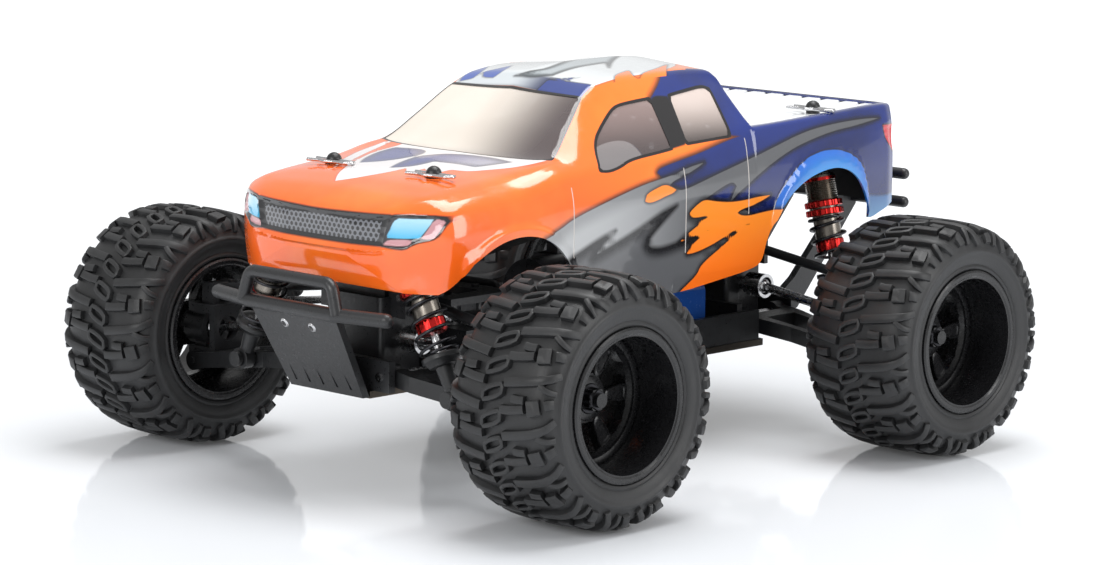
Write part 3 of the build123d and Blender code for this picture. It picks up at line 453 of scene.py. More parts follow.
# ---------------------------------------------------------------- body shell: surface
# Cross-sections: y and eight points of the half-section, from lower edge to top centre.
SECTIONS = [
    (-117.0, [(15, 84), (17, 88), (18, 92), (17, 95), (14, 96.5), (10, 97), (6, 97.2), (0, 97.5)]),
    (-114.5, [(31, 76.5), (33, 84), (34, 92), (33, 97.5), (29, 99.8), (24, 100.3), (14, 100.6), (0, 101)]),
    (-111.5, [(38, 72.8), (41, 82), (42, 93), (41, 99), (36, 101.8), (30, 102.5), (18, 103), (0, 103.4)]),
    (-107.5, [(45.5, 72.8), (47.5, 82), (48.5, 93.5), (47, 100.3), (40, 103.6), (32, 104.6), (20, 105.2),
              (0, 105.6)]),
    (-103.0, [(51.5, 73), (53, 82), (53, 94), (50.5, 101.5), (42, 105.3), (33, 105.9), (20, 106.6),
              (0, 107)]),
    (-96.0, [(53.5, 58), (54, 82), (54, 95), (51.5, 102.5), (42.5, 106.4), (33, 107.6), (20, 108.3),
             (0, 108.5)]),
    (-70.0, [(54.5, 58), (55, 82), (55, 97), (52, 105), (43, 109.4), (33, 110.3), (20, 110.9), (0, 111.3)]),
    (-48.0, [(54.5, 58), (55, 82), (55, 99), (52, 109.5), (45, 112.7), (41, 113), (39, 113.1), (0, 113.6)]),
    (-34.0, [(54.5, 58), (55, 82), (55, 100), (51.5, 110), (48, 113.4), (38.5, 121.6), (36.5, 122.8),
             (0, 124.6)]),
    (-20.0, [(54.5, 58), (55, 82), (55, 100), (51.5, 110.5), (48.5, 113.8), (34.5, 131), (32.5, 133.2),
             (0, 135.4)]),
    (-12.0, [(54.5, 58), (55, 82), (55, 100), (51.5, 110.8), (49, 114), (33.8, 134), (31, 136.8),
             (0, 139.6)]),
    (5.0, [(54.5, 58), (55, 82), (55, 100.5), (52, 111.4), (49.5, 115), (34, 135.5), (31, 138.6),
           (0, 141.4)]),
    (30.0, [(54.5, 58), (55, 82), (55, 101), (52.5, 112.4), (50, 117), (34.5, 135.5), (31.5, 138.8),
            (0, 141.6)]),
    (46.0, [(54.5, 58), (55, 82), (55, 101), (53, 112.8), (51, 118), (35, 134.5), (33, 138), (0, 140.6)]),
    (49.0, [(54.5, 58), (55, 82), (55, 101), (53, 113), (51.5, 118.2), (36.5, 133), (34.5, 135.8), (0, 138)]),
    (51.0, [(54.5, 58), (55, 82), (55, 101), (53.5, 113), (52, 118.3), (48.8, 118.5), (48.3, 117.9),
            (0, 117.9)]),
    (90.0, [(54.5, 60), (55, 84), (55, 102), (53.5, 114), (52, 119.8), (48.8, 120), (48.3, 119.4),
            (0, 119.4)]),
    (126.0, [(53, 62), (54, 86), (54, 103), (53, 115), (51.5, 121.2), (48.3, 121.4), (47.8, 120.8),
             (0, 120.8)]),
    (131.0, [(51.5, 62), (52.5, 86), (52.5, 103), (51.5, 115), (50, 121), (46.8, 121.2), (46.3, 121.2),
             (0, 121.2)]),
]
FRONT_ARCH = [(-95, 82.8), (-84, 88.8), (-72, 90.8), (-60, 88.6), (-51, 82), (-46.7, 74)]
SILL = [(-46.7, 74), (-45.5, 63), (-42.5, 60.5), (10, 61.5), (30, 64), (50, 66.5), (54, 69.5), (55.5, 75)]
REAR_ARCH = [(55.5, 75), (60, 84), (66, 91.5), (75, 97), (86, 100), (96, 100.3), (104.5, 97), (110.5, 90),
             (114.5, 79)]
TAIL_EDGE = [(114.5, 79), (118, 79.5), (140, 86.5), (140, 30), (-106.5, 30), (-106.5, 72), (-95, 82.8)]
CORNER_ROUND = [0.0, 12.0, 8.0, 4.0, 3.0, 3.0, 4.0, 0.0]
SECTION_SAMPLES = [22, 16, 12, 10, 14, 10, 22]
SHELL_WALL = 0.9
FINE = 1.15
POST_HOLES = [(25.4, -85.6), (41.0, 97.0)]
POST_HOLE_R = 3.4
CAB_SIDE_X = 30.0


def pchip(x, values, at):
    """Monotone cubic through the section stations."""
    x = np.asarray(x, float)
    v = np.asarray(values, float)
    h = np.diff(x)
    d = np.diff(v) / h
    m = np.zeros(len(x))
    for k in range(1, len(x) - 1):
        if d[k - 1] * d[k] > 0:
            w1, w2 = 2 * h[k] + h[k - 1], h[k] + 2 * h[k - 1]
            m[k] = (w1 + w2) / (w1 / d[k - 1] + w2 / d[k])
    m[0], m[-1] = d[0], d[-1]
    i = np.clip(np.searchsorted(x, at, side="right") - 1, 0, len(x) - 2)
    t = (at - x[i]) / h[i]
    h00, h10 = (1 + 2 * t) * (1 - t) ** 2, t * (1 - t) ** 2
    h01, h11 = t * t * (3 - 2 * t), t * t * (t - 1)
    return h00 * v[i] + h10 * h[i] * m[i] + h01 * v[i + 1] + h11 * h[i] * m[i + 1]


def rounded_half(points):
    """Half-section with rounded corners, as a fixed number of samples from lower edge to centre."""
    points = np.asarray(points, float)
    lines = np.linalg.norm(np.diff(points, axis=0), axis=1)
    ins, outs = [], []
    for k, point in enumerate(points):
        before = lines[k - 1] if k else 0.0
        after = lines[k] if k < len(points) - 1 else 0.0
        cut = min(CORNER_ROUND[k], 0.45 * before if before else 0.0, 0.45 * after if after else 0.0)
        ins.append(point + (points[k - 1] - point) * (cut / before if before else 0.0))
        outs.append(point + (points[min(k + 1, len(points) - 1)] - point) * (cut / after if after else 0.0))
    result = [points[0]]
    for k, samples in enumerate(SECTION_SAMPLES):
        count = max(3, int(round(samples * (1.0 if FINE < 2 else 0.55))))
        bend = max(2, count // 3)
        straight = count - bend
        for i in range(1, straight + 1):
            result.append(outs[k] + (ins[k + 1] - outs[k]) * i / straight)
        if k + 1 < len(points) - 1:
            for i in range(1, bend + 1):
                t = i / bend
                a, c, b = ins[k + 1], points[k + 1], outs[k + 1]
                result.append(a * (1 - t) ** 2 + c * 2 * t * (1 - t) + b * t * t)
    return np.array(result)


def shell_grid():
    """Rows of the shell surface, right side first: array of rows x samples x 3, in drawing mm."""
    stations = np.array([y for y, _ in SECTIONS], float)
    control = np.array([half for _, half in SECTIONS], float)
    rows_y = [stations[0]]
    for k in range(len(stations) - 1):
        reach = np.abs(control[k + 1] - control[k]).max(axis=1)
        span = max(stations[k + 1] - stations[k], 0.55
                   * np.linalg.norm(control[k + 1] - control[k], axis=1).max())
        count = max(2, int(math.ceil(span / FINE)))
        rows_y += [stations[k] + (stations[k + 1] - stations[k]) * i / count for i in range(1, count + 1)]
    rows_y = np.array(rows_y)
    table = np.zeros((len(rows_y), 8, 2))
    for i in range(8):
        for j in range(2):
            table[:, i, j] = pchip(stations, control[:, i, j], rows_y)
    rows = []
    for y, half in zip(rows_y, table):
        left = rounded_half(half)
        full = np.concatenate([left * (-1, 1), left[-2::-1]])
        rows.append(np.column_stack([full[:, 0], np.full(len(full), y), full[:, 1]]))
    return np.array(rows)


class Surface:
    """A quad surface that can be cut by signed functions, vertex by vertex."""

    def __init__(self, points, faces):
        self.p = np.asarray(points, float)
        self.faces = [list(f) for f in faces]
        self.kind = np.zeros(len(self.faces), int)
        self.fixed = np.zeros(len(self.p), bool)

    def edges(self):
        found = {}
        for f in self.faces:
            for a, b in zip(f, f[1:] + f[:1]):
                found[(min(a, b), max(a, b))] = True
        return np.array(list(found), int)

    def cut(self, value, kind):
        """Move vertices onto the zero line of value(points), split faces along it and number the inside."""
        d = value(self.p)
        d = np.where(np.abs(d) < 1e-6, 1e-6, d)
        for _ in range(2):
            e = self.edges()
            cross = (d[e[:, 0]] > 0) != (d[e[:, 1]] > 0)
            cross &= (d[e[:, 0]] != 0) & (d[e[:, 1]] != 0)
            e = e[cross]
            share = np.abs(d[e[:, 0]]) / (np.abs(d[e[:, 0]]) + np.abs(d[e[:, 1]]))
            order = np.argsort(np.minimum(share, 1 - share))
            moved = {}
            for k in order:
                a, b = e[k]
                near, far = (a, b) if share[k] < 0.5 else (b, a)
                if self.fixed[near]:
                    near, far = far, near
                if self.fixed[near] or near in moved or d[near] == 0 or d[far] == 0:
                    continue
                if (d[near] > 0) == (d[far] > 0):
                    continue
                t = abs(d[near]) / (abs(d[near]) + abs(d[far]))
                if t > 0.62:
                    continue
                moved[near] = self.p[near] + (self.p[far] - self.p[near]) * t
                d[near] = 0.0
            for v, place in moved.items():
                self.p[v] = place
        faces, kinds = [], []
        zero = d == 0
        for f, old in zip(self.faces, self.kind):
            parts = [f]
            if len(f) == 4:
                z = [zero[v] for v in f]
                mixed = any(d[v] > 0 for v in f) and any(d[v] < 0 for v in f)
                if mixed and z[0] and z[2]:
                    parts = [[f[0], f[1], f[2]], [f[0], f[2], f[3]]]
                elif mixed and z[1] and z[3]:
                    parts = [[f[1], f[2], f[3]], [f[1], f[3], f[0]]]
            for part in parts:
                inside = sum(d[v] for v in part) < 0
                new = kind if inside and old == 0 else old
                faces.append(part)
                kinds.append(new)
        self.faces, self.kind = faces, np.array(kinds)
        self.fixed = self.fixed | zero


def lower_edge_outline():
    front = smooth_outline(FRONT_ARCH, 3, 70, closed=False)
    rear = smooth_outline(REAR_ARCH, 3, 70, closed=False)
    sill = smooth_outline(SILL, 2, 80, closed=False)
    return np.concatenate([front, sill[1:], rear[1:], np.array(TAIL_EDGE[1:-1], float)])


# Outlines on the sides, as (y, z)
SIDE_WINDOW_FRONT = [(-25.6, 117.5), (-29.9, 109.4), (-25.8, 108.9), (-19.7, 110), (-14.1, 112), (1.3, 113.4),
                     (8, 114.1), (9.7, 130.2), (2.4, 129.8), (-6.3, 129), (-10.7, 127.6), (-17.5, 123.3)]
SIDE_WINDOW_REAR = [(16.6, 115.2), (20.1, 130.6), (29.7, 131.7), (38.9, 132.6), (41.8, 131.6), (38.7, 116.3)]
WINDSHIELD = [(-36, -48), (-20, -50), (0, -50.8), (20, -50), (36, -48), (42.5, -45.5), (32.5, -21.2),
              (15, -22.4), (0, -22.8), (-15, -22.4), (-32.5, -21.2), (-42.5, -45.5)]
REAR_WINDOW = [(-29, 121.5), (29, 121.5), (26.5, 133.0), (-26.5, 133.0)]
TAIL_LAMP = [(123.6, 113.6), (131.4, 113.4), (133, 101.8), (125.4, 107.3)]
FLARE_OUTER = [(59.8, 87.7), (61.4, 91.7), (66.1, 96.9), (74, 103.2), (83.6, 106.7), (94.5, 107),
               (103.2, 104.7),
               (109.9, 100.1), (112.4, 94.7), (114.2, 87.8), (114.8, 78), (100, 70), (70, 75), (58, 80)]
FLARE_INNER = [(62.5, 84), (64.3, 88.2), (73.9, 97.1), (80.9, 100.3), (89.5, 101.2), (98.5, 100.4),
               (106.2, 97.1),
               (111, 91.9), (114.3, 85), (114.5, 76), (100, 70), (70, 75)]
FRONT_FLARE = [(-100, 84), (-96, 86.6), (-85, 92.9), (-72, 95.0), (-58.5, 92.6), (-48.6, 85), (-43.6, 74),
               (-60, 68), (-100, 76)]
# Outlines on the front, as (x, z)
HEADLIGHT = [(33.7, 99.3), (39.7, 99.7), (47.1, 99.8), (51.8, 99.3), (50.7, 95.9), (48.9, 92.2), (44.6, 91.1),
             (42.1, 90.2), (39.2, 88.1), (34.5, 88.3), (30.8, 88.7), (32.2, 93.5)]
GRILLE = [(-33.7, 99.3), (-17, 98.8), (0, 98.4), (17, 98.8), (33.7, 99.3), (32.2, 93.5), (30.8, 88.7),
          (16, 88.4),
          (0, 88.3), (-16, 88.4), (-30.8, 88.7), (-32.2, 93.5)]
GRILLE_MESH = [(-30, 97.0), (0, 96.6), (30, 97.0), (28.6, 89.8), (0, 89.6), (-28.6, 89.8)]
RIDGE = [(-34, 88.0), (-16, 87.7), (0, 87.6), (16, 87.7), (34, 88.0), (33, 85.4), (0, 85.0), (-33, 85.4)]


def side_points(p):
    return p[..., 1:3]


def front_points(p):
    return p[..., [0, 2]]


def top_points(p):
    return p[..., 0:2]


def limited(value, region):
    """A distance function that only counts where region(p) holds."""
    return lambda p: np.where(region(p), value(p), 50.0)


def front_region(p):
    return p[..., 1] < -92.0


# ---------------------------------------------------------------- body shell: livery outlines
# On the sides, as (y, z)
BLUE = [(24.5, 139.5), (17.6, 134.6), (9.8, 130.2), (14, 122), (30, 117.2), (46.4, 116.0), (35.8, 114.3),
        (21.3, 111.2), (10, 109.4), (2.3, 108.1), (-0.9, 107.3), (-2.2, 106.2), (-0.2, 104.4), (2.8, 101.7),
        (7.7, 99.0), (20, 92), (40, 85), (70, 80), (118, 76), (140, 80), (140, 150), (50, 150)]
GRAY = [(-53.4, 90.7), (-47, 93.8), (-31.2, 98), (-11.6, 102.4), (-0.6, 103.9), (6.4, 104.9), (12.4, 106.3),
        (17.4, 107.2), (22.6, 107.8), (18.8, 106.3), (12.7, 104.4), (6.7, 103), (2.8, 101.7), (7.7, 99),
        (11.8, 99.3), (17.5, 100.5), (30.4, 103.5), (45.9, 106.9), (60.3, 110.4), (76.8, 114.4),
        (91.5, 116.1),
        (110.7, 116.9), (122, 116.5), (110, 114.8), (95.3, 113.9), (80.6, 111.4), (69, 108.6), (54.5, 103),
        (44.1, 97.5), (39.1, 95.2), (34.2, 91.1), (36.6, 94.9), (38.8, 98), (36.8, 99.7), (33.2, 99.1),
        (25.8, 96.4), (21.3, 94.6), (40, 91), (50, 85), (50, 70), (40, 50), (-60, 50), (-62, 88)]
DARK = [(-47.1, 80.1), (-37.9, 83.8), (-31, 86.1), (-25.2, 87.6), (-31, 84.2), (-36.3, 79.5), (-30.1, 81.4),
        (-22.3, 83.9), (-16.1, 86), (-9.8, 88.4), (-2.6, 91.3), (6.6, 93.8), (1.4, 90.3), (-3.3, 86.9),
        (-7.3, 84), (-8.7, 81.4), (-7.1, 79.6), (-2.3, 78.9), (3.3, 79.4), (9, 80.5), (30, 83), (50, 84),
        (50, 66), (40, 50), (-60, 50), (-60, 78)]
LICK = [(-10.3, 97.4), (-9.2, 99.1), (-5.1, 100.5), (1.7, 102.1), (7.3, 98.9), (1.3, 97.9), (-3.5, 96.6),
        (-7.5, 96), (-9.9, 96.6)]
FLAME = [(9.8, 56), (9.8, 61.4), (13.8, 64.1), (17, 66.5), (18.9, 68.6), (19.7, 70.2), (23.3, 72.6),
         (28.1, 74.9), (34.6, 78.2), (41.2, 81.8), (47, 83.5), (40.3, 82.7), (32.9, 80.1), (26.3, 77.9),
         (19.8, 76.3), (14.9, 75.6), (12, 75.7), (14, 78), (18, 80.4), (24.4, 83.4), (19.5, 82.5),
         (13.8, 81.4), (8.2, 80.4), (12.1, 82.7), (17.8, 85.4), (21.9, 87.6), (25.1, 88.9), (20.2, 88.5),
         (15.3, 88.5), (12.7, 89), (13.6, 90.8), (17.6, 93.2), (21.3, 94.6), (26.7, 93.5), (34.2, 92.4),
         (42.6, 92.3), (51, 93), (57.4, 93), (53.6, 91.6), (46.9, 90), (41, 89.1), (39.3, 88.2), (41, 86.9),
         (46.1, 86.4), (53.7, 87.1), (64.9, 87.5), (63.2, 84.5), (60.1, 78), (58, 60), (50, 56)]
PILLAR = [(8.4, 113.6), (10.1, 130.3), (13, 131.4), (19.4, 130.8), (16.0, 114.6)]
QUARTER = [(113, 88), (124, 86.5), (140, 88), (140, 66), (112, 70)]
# On top, as (x, y)
HOOD_WHITE = [(-28, -46), (-27.8, -61.7), (-26.5, -68.9), (-17.5, -85.3), (-9.4, -98.6), (-4.3, -104.3),
              (2, -99.7), (6.6, -89.5), (7, -81), (14, -88), (13, -78), (22, -84), (22, -74), (28.6, -72.4),
              (33.1, -65.6), (37.8, -58.9), (42, -46)]
HOOD_SLIVER = [(-17.5, -93.5), (-21, -84), (-28, -70), (-32, -60), (-36, -46), (-38, -46), (-36.6, -61),
               (-33, -70.4), (-25, -84)]
HOOD_BLADES = [
    [(-16.2, -81.8), (-22.2, -73.6), (-26.2, -63.9), (-26.4, -55), (-12, -53), (-6.2, -60.3), (-7, -69.3),
     (-10.4, -76.5)],
    [(1.5, -84), (-2.8, -74.8), (-4.8, -67), (-4.6, -61.1), (2, -54), (20, -52), (32, -54), (26, -66.3),
     (17.1, -66.3), (7.2, -67.9), (6.9, -78.1)],
]
ROOF_WHITE = [(-31, -21.5), (-31.5, -13), (-31, 5), (-30, 26), (-20, 46), (0, 50.5), (20, 46), (30, 26),
              (31, 5),
              (31.5, -13), (31, -21.5)]
ROOF_SPIKES = [
    [(34, -4), (28.4, 1.5), (23.8, 13.8), (27.1, 11), (31, 8), (35, 12)],
    [(34, 8), (29.4, 16), (25.5, 27.7), (19.6, 39.4), (23.9, 34), (29, 28), (35, 22)],
]
ROOF_STRIPE = [(-4.8, -16.6), (1.2, -14), (4.5, -5.6), (-5.5, 18.6), (-12, 36), (-7, 46), (6.6, 23),
               (17.5, 10),
               (8.6, 17.9), (10.3, 4.1), (11.5, -12.8), (4, -16.7)]
ROOF_BLADES = [
    [(-31, -12), (-30, -4), (-26, -10), (-23.9, -14), (-24.4, -18), (-30, -20)],
    [(-22.4, -14.1), (-19.7, -10.4), (-17.3, -4.5), (-13.3, -12.9), (-14.1, -17.5), (-20, -17.5)],
]
ROOF_BLUE = [
    [(11.7, -14.9), (17.2, -13.8), (21.1, -9.1), (20.4, -13.2), (17.1, -14.6)],
    [(12, -23.5), (12, -16), (22, -14.5), (31, -13), (33, -21)],
]
# On the front, as (x, z), for the left lamp
LAMP_CYAN = [(35.5, 98.6), (47.9, 98.9), (46.4, 95.7), (44, 92.1), (39.8, 91.7), (32.2, 91.5)]
LAMP_PINK = [
    [(30.8, 89), (32.3, 90.9), (40.5, 91.4), (42.2, 91.1), (39.6, 88.9)],
    [(47.9, 98.9), (51.1, 98.7), (50, 95.3), (48.4, 92.2), (44.2, 91.7), (46.5, 95.2)],
]


def nearest(outlines, pick, region, rounds=2, sharp=62.0):
    shapes = [smooth_outline(o, rounds, sharp) for o in outlines]
    return limited(lambda p: np.minimum.reduce([signed_distance(pick(p), s) for s in shapes]), region)


def mirrored(pick):
    """The same two coordinates, with the first one taken as positive."""
    return lambda p: np.abs(pick(p)) * (1.0, 0.0) + pick(p) * (0.0, 1.0)


def side_region(p):
    return np.abs(p[..., 0]) > CAB_SIDE_X


def side_value(outline, rounds=2, sharp=62.0):
    return nearest([outline], side_points, side_region, rounds, sharp)


def hood_region(p):
    return (p[..., 1] < -44.0) & (p[..., 2] > 100.5)


def roof_region(p):
    return (p[..., 2] > 125.0) & (np.abs(p[..., 0]) < 35.5) & (p[..., 1] > -26) & (p[..., 1] < 52)


def blue_value():
    """The blue rear: its outline on the sides, and everything behind the cab's rear wall between them."""
    outline = side_value(BLUE, 2, 75.0)
    return lambda p: np.where(side_region(p), outline(p), np.where(p[..., 1] > 47.5, -12.0, 12.0))


WINDOWS = [
    nearest([SIDE_WINDOW_FRONT, SIDE_WINDOW_REAR], side_points, side_region, 2, 40.0),
    nearest([WINDSHIELD], top_points, lambda p: (p[..., 1] < -15) & (p[..., 1] > -60) & (p[..., 2] > 108), 2,
            50.0),
    nearest([REAR_WINDOW], front_points, lambda p: (p[..., 1] > 46.0) & (p[..., 1] < 54.0), 2, 50.0),
]
LIVERY = {
    "blue": blue_value(),
    "gray": side_value(GRAY),
    "dark": side_value(DARK),
    "lick": side_value(LICK),
    "flare": side_value(FLARE_OUTER, 2, 80.0),
    "flare_inner": side_value(FLARE_INNER, 2, 80.0),
    "door_flame": side_value(FLAME),
    "quarter": side_value(QUARTER),
    "pillar": side_value(PILLAR, 1, 40.0),
    "tail_lamp": nearest([TAIL_LAMP], side_points, lambda p: np.abs(p[..., 0]) > 40.0, 1, 40.0),
    "hood_white": nearest([HOOD_WHITE, HOOD_SLIVER], top_points, hood_region),
    "hood_blade": nearest(HOOD_BLADES, top_points, hood_region),
    "roof_white": nearest([ROOF_WHITE], top_points, roof_region),
    "roof_spike": nearest(ROOF_SPIKES, mirrored(top_points), roof_region),
    "roof_stripe": nearest([ROOF_STRIPE], top_points, roof_region),
    "roof_blade": nearest(ROOF_BLADES, top_points, roof_region),
    "roof_blue": nearest(ROOF_BLUE, top_points, roof_region),
    "headlight": nearest([HEADLIGHT], mirrored(front_points), front_region, 1, 50.0),
    "lamp_cyan": nearest([LAMP_CYAN], mirrored(front_points), front_region, 1, 50.0),
    "lamp_pink": nearest(LAMP_PINK, mirrored(front_points), front_region, 1, 50.0),
    "grille": nearest([GRILLE], front_points, front_region, 1, 50.0),
    "grille_mesh": nearest([GRILLE_MESH], front_points, front_region, 1, 50.0),
    "ridge": nearest([RIDGE], front_points, front_region, 2, 80.0),
    "window": lambda p: np.minimum.reduce([w(p) for w in WINDOWS]),
    "front_flare": side_value(FRONT_FLARE, 2, 80.0),
}
# Half width, front end and rear end of the bed
BED = (46.6, 52.5, 129.4)
# How far each printed region stands out of the surface, or sinks into it, and how wide its edge is
RELIEF = [("flare", 1.7, 1.5), ("front_flare", 1.0, 1.6), ("headlight", -0.9, 1.2), ("grille", -0.9, 1.2),
          ("ridge", 0.9, 1.3), ("tail_lamp", -0.5, 1.2)]
CUT_AWAY = 9
GLASS_DEPTH = 0.25


def smoothstep(value, low, high):
    t = np.clip((value - low) / (high - low), 0.0, 1.0)
    return t * t * (3 - 2 * t)


def vertex_normals(points, faces):
    normals = np.zeros_like(points)
    quads = np.array([f if len(f) == 4 else [*f, f[2]] for f in faces])
    cross = np.cross(points[quads[:, 2]] - points[quads[:, 0]], points[quads[:, 3]] - points[quads[:, 1]])
    flat = np.cross(points[quads[:, 1]] - points[quads[:, 0]], points[quads[:, 2]] - points[quads[:, 0]])
    cross = np.where((quads[:, 2] == quads[:, 3])[:, None], flat, cross)
    for k in range(4):
        np.add.at(normals, quads[:, k], cross)
    return normals / np.maximum(np.linalg.norm(normals, axis=1), 1e-9)[:, None]


def shell_surface():
    """Surface with a closed nose and tail, as points and faces."""
    grid = shell_grid()
    rows, columns, _ = grid.shape
    points = [tuple(p) for p in grid.reshape(-1, 3)]
    faces = []
    for i in range(rows - 1):
        for j in range(columns - 1):
            a = i * columns + j
            faces.append([a, a + columns, a + columns + 1, a + 1])
    middle = columns // 2

    def ladder(row, across, flip, ending=middle):
        """Fill the flat end of the shell between matching samples of its two sides."""
        base = row * columns
        previous = None
        for j in range(ending + 1):
            left, right = base + j, base + columns - 1 - j
            if left == right:
                line = [left] * (across + 1)
            else:
                a, b = np.array(points[left]), np.array(points[right])
                line = [left]
                for k in range(1, across):
                    line.append(len(points))
                    points.append(tuple(a + (b - a) * k / across))
                line.append(right)
            if previous:
                for k in range(across):
                    quad = [previous[k], previous[k + 1], line[k + 1], line[k]]
                    quad = [v for n, v in enumerate(quad) if v != quad[n - 1]]
                    if len(quad) > 2:
                        faces.append(quad[::-1] if flip else quad)
            previous = line
    ladder(0, 26 if FINE < 2 else 14, True)
    ladder(rows - 1, 48 if FINE < 2 else 24, False)
    for i in range(rows - 1):
        if grid[i + 1, 0, 1] > -111.4:
            break
        a, b = i * columns, (i + 1) * columns
        faces.append([a, a + columns - 1, b + columns - 1, b])
    return np.array(points), faces


def round_hole(x, y, radius):
    return lambda p: np.where(p[:, 2] > 100, np.hypot(np.abs(p[:, 0]) - x, p[:, 1] - y) - radius, 50.0)


def build_shell():
    points, faces = shell_surface()
    surface = Surface(points, faces)
    edge = lower_edge_outline()
    surface.cut(lambda p: signed_distance(side_points(p), edge), CUT_AWAY)
    for x, y in POST_HOLES:
        surface.cut(round_hole(x, y, POST_HOLE_R), CUT_AWAY)
    for number, window in enumerate(WINDOWS):
        surface.cut(window, 1 + number)
    half, start, end = BED
    bed = lambda p: np.where(p[:, 2] > 117.0, np.maximum.reduce(
        [np.abs(p[:, 0]) - half, start - p[:, 1], p[:, 1] - end]), 50.0)
    surface.cut(bed, CUT_AWAY)
    for name in ("headlight", "grille", "tail_lamp"):
        surface.cut(LIVERY[name], 0)
    p = surface.p
    normals = -vertex_normals(p, surface.faces)
    if normals[np.argmax(p[:, 2])][2] < 0:
        normals = -normals
    else:
        surface.faces = [f[::-1] for f in surface.faces]
    values = {name: value(p) for name, value in LIVERY.items()}
    raise_by = np.zeros(len(p))
    for name, height, edge_width in RELIEF:
        raise_by += height * smoothstep(-values[name], 0.0, edge_width)
    sill = (np.abs(p[:, 0]) > 50) & (p[:, 1] > 5)
    raise_by -= np.where(sill, np.clip(68.0 - p[:, 2], 0, 8) * 0.22, 0.0)
    outer = p + normals * raise_by[:, None]
    inner = outer - normals * SHELL_WALL
    keep = [k for k in range(len(surface.faces)) if surface.kind[k] == 0]
    body_faces = [surface.faces[k] for k in keep]
    edges = {}
    for f in body_faces:
        for a, b in zip(f, f[1:] + f[:1]):
            edges[(a, b)] = True
    rims = [(a, b) for a, b in edges if (b, a) not in edges]
    count = len(p)
    faces_all = list(body_faces)
    faces_all += [[v + count for v in reversed(f)] for f in body_faces]
    faces_all += [[b, a, a + count, b + count] for a, b in rims]
    numbers = paint_numbers(p, normals, body_faces, values)
    numbers = numbers + [1] * len(body_faces) + [0] * len(rims)
    vertices, faces_all, used = compact(np.concatenate([outer, inner]), faces_all)
    attributes = {name: np.concatenate([value, value])[used] for name, value in values.items()}
    new_mesh("shell_body", vertices, faces_all, shell_paints(), "chassis",
             ["body_shell"], numbers, 42.0, attributes=attributes)
    for number, name in ((1, "side_glass"), (2, "windshield"), (3, "rear_glass")):
        window_faces = [surface.faces[k] for k in range(len(surface.faces)) if surface.kind[k] == number]
        if window_faces:
            sunk = outer - normals * GLASS_DEPTH
            vertices, window_faces, used = compact(sunk, window_faces)
            new_mesh(name, vertices, window_faces, smoked_glass(name), "chassis", (), None,
                     42.0,
                     attributes={"window": values["window"][used]})


def paint_numbers(p, normals, faces, values):
    """Which of the shell's paints each face has: 0 sides, 2 hood, roof and bed rails, 3 lamps and grille."""
    near_front = np.minimum(values["headlight"], values["grille"]) < 2.5
    on_top = (normals[:, 2] > 0.74) & (p[:, 2] > 100)
    numbers = []
    for f in faces:
        if any(near_front[v] for v in f):
            numbers.append(3)
        else:
            numbers.append(2 if all(on_top[v] for v in f) else 0)
    return numbers


def compact(points, faces):
    """Drop the points that no face uses."""
    used = sorted({v for f in faces for v in f})
    place = {v: k for k, v in enumerate(used)}
    return points[used], [[place[v] for v in f] for f in faces], np.array(used)


def srgb(red, green, blue):
    """Linear colour from 0-255 display values."""
    def channel(value):
        value = value / 255.0
        return value / 12.92 if value <= 0.04045 else ((value + 0.055) / 1.055) ** 2.4
    return (channel(red), channel(green), channel(blue))


INK = srgb(18, 16, 18)


def shell_paints():
    """Paints of the sides, the inside, the top and the front."""
    return [side_paint(), MATERIALS["nylon"], top_paint(), front_paint()]


class Livery(Paint):
    """Airbrushed livery: layers with dark soft edges under a clear gloss."""

    def __init__(self, name):
        super().__init__(name, srgb(250, 110, 40), 0.16, 0.0)
        self.set("Coat Weight", 0.7)
        self.set("Coat Roughness", 0.04)
        self.y, self.z = self.axis("Y"), self.axis("Z")
        self.soft = self.noise(26.0, 3.0)

    def orange(self):
        colour = self.mix(self.step(self.y, -60, 20), srgb(255, 106, 28), srgb(255, 124, 34))
        return self.mix(self.step(self.soft, 0.45, 0.75, (0.0, 0.35)), colour, srgb(255, 150, 60))

    def blue(self):
        colour = self.mix(self.step(self.z, 84, 122), srgb(10, 30, 96), srgb(18, 42, 118))
        return self.mix(self.step(self.soft, 0.4, 0.7, (0.0, 0.5)), colour, srgb(12, 22, 64))

    def layer(self, colour, name, fill, halo=2.2, strength=0.85, softness=0.22):
        """Paint a region with a soft black shadow outside it."""
        distance = self.attribute(name)
        colour = self.mix(self.step(distance, -0.2, halo, (strength, 0.0)), colour, INK)
        return self.mix(self.step(distance, -softness, softness, (1.0, 0.0)), colour, fill)

    def finish(self, colour, groove=None):
        self.set("Base Color", colour)
        grain = self.noise(420.0, 3.0, 0.6)
        self.set("Roughness", self.step(grain, 0.3, 0.7, (0.10, 0.2)))
        height = self.math("MULTIPLY", grain, 0.06)
        if groove:
            height = self.math("SUBTRACT", height, groove)
        self.bump(height, 0.25, 0.6)
        return self.material


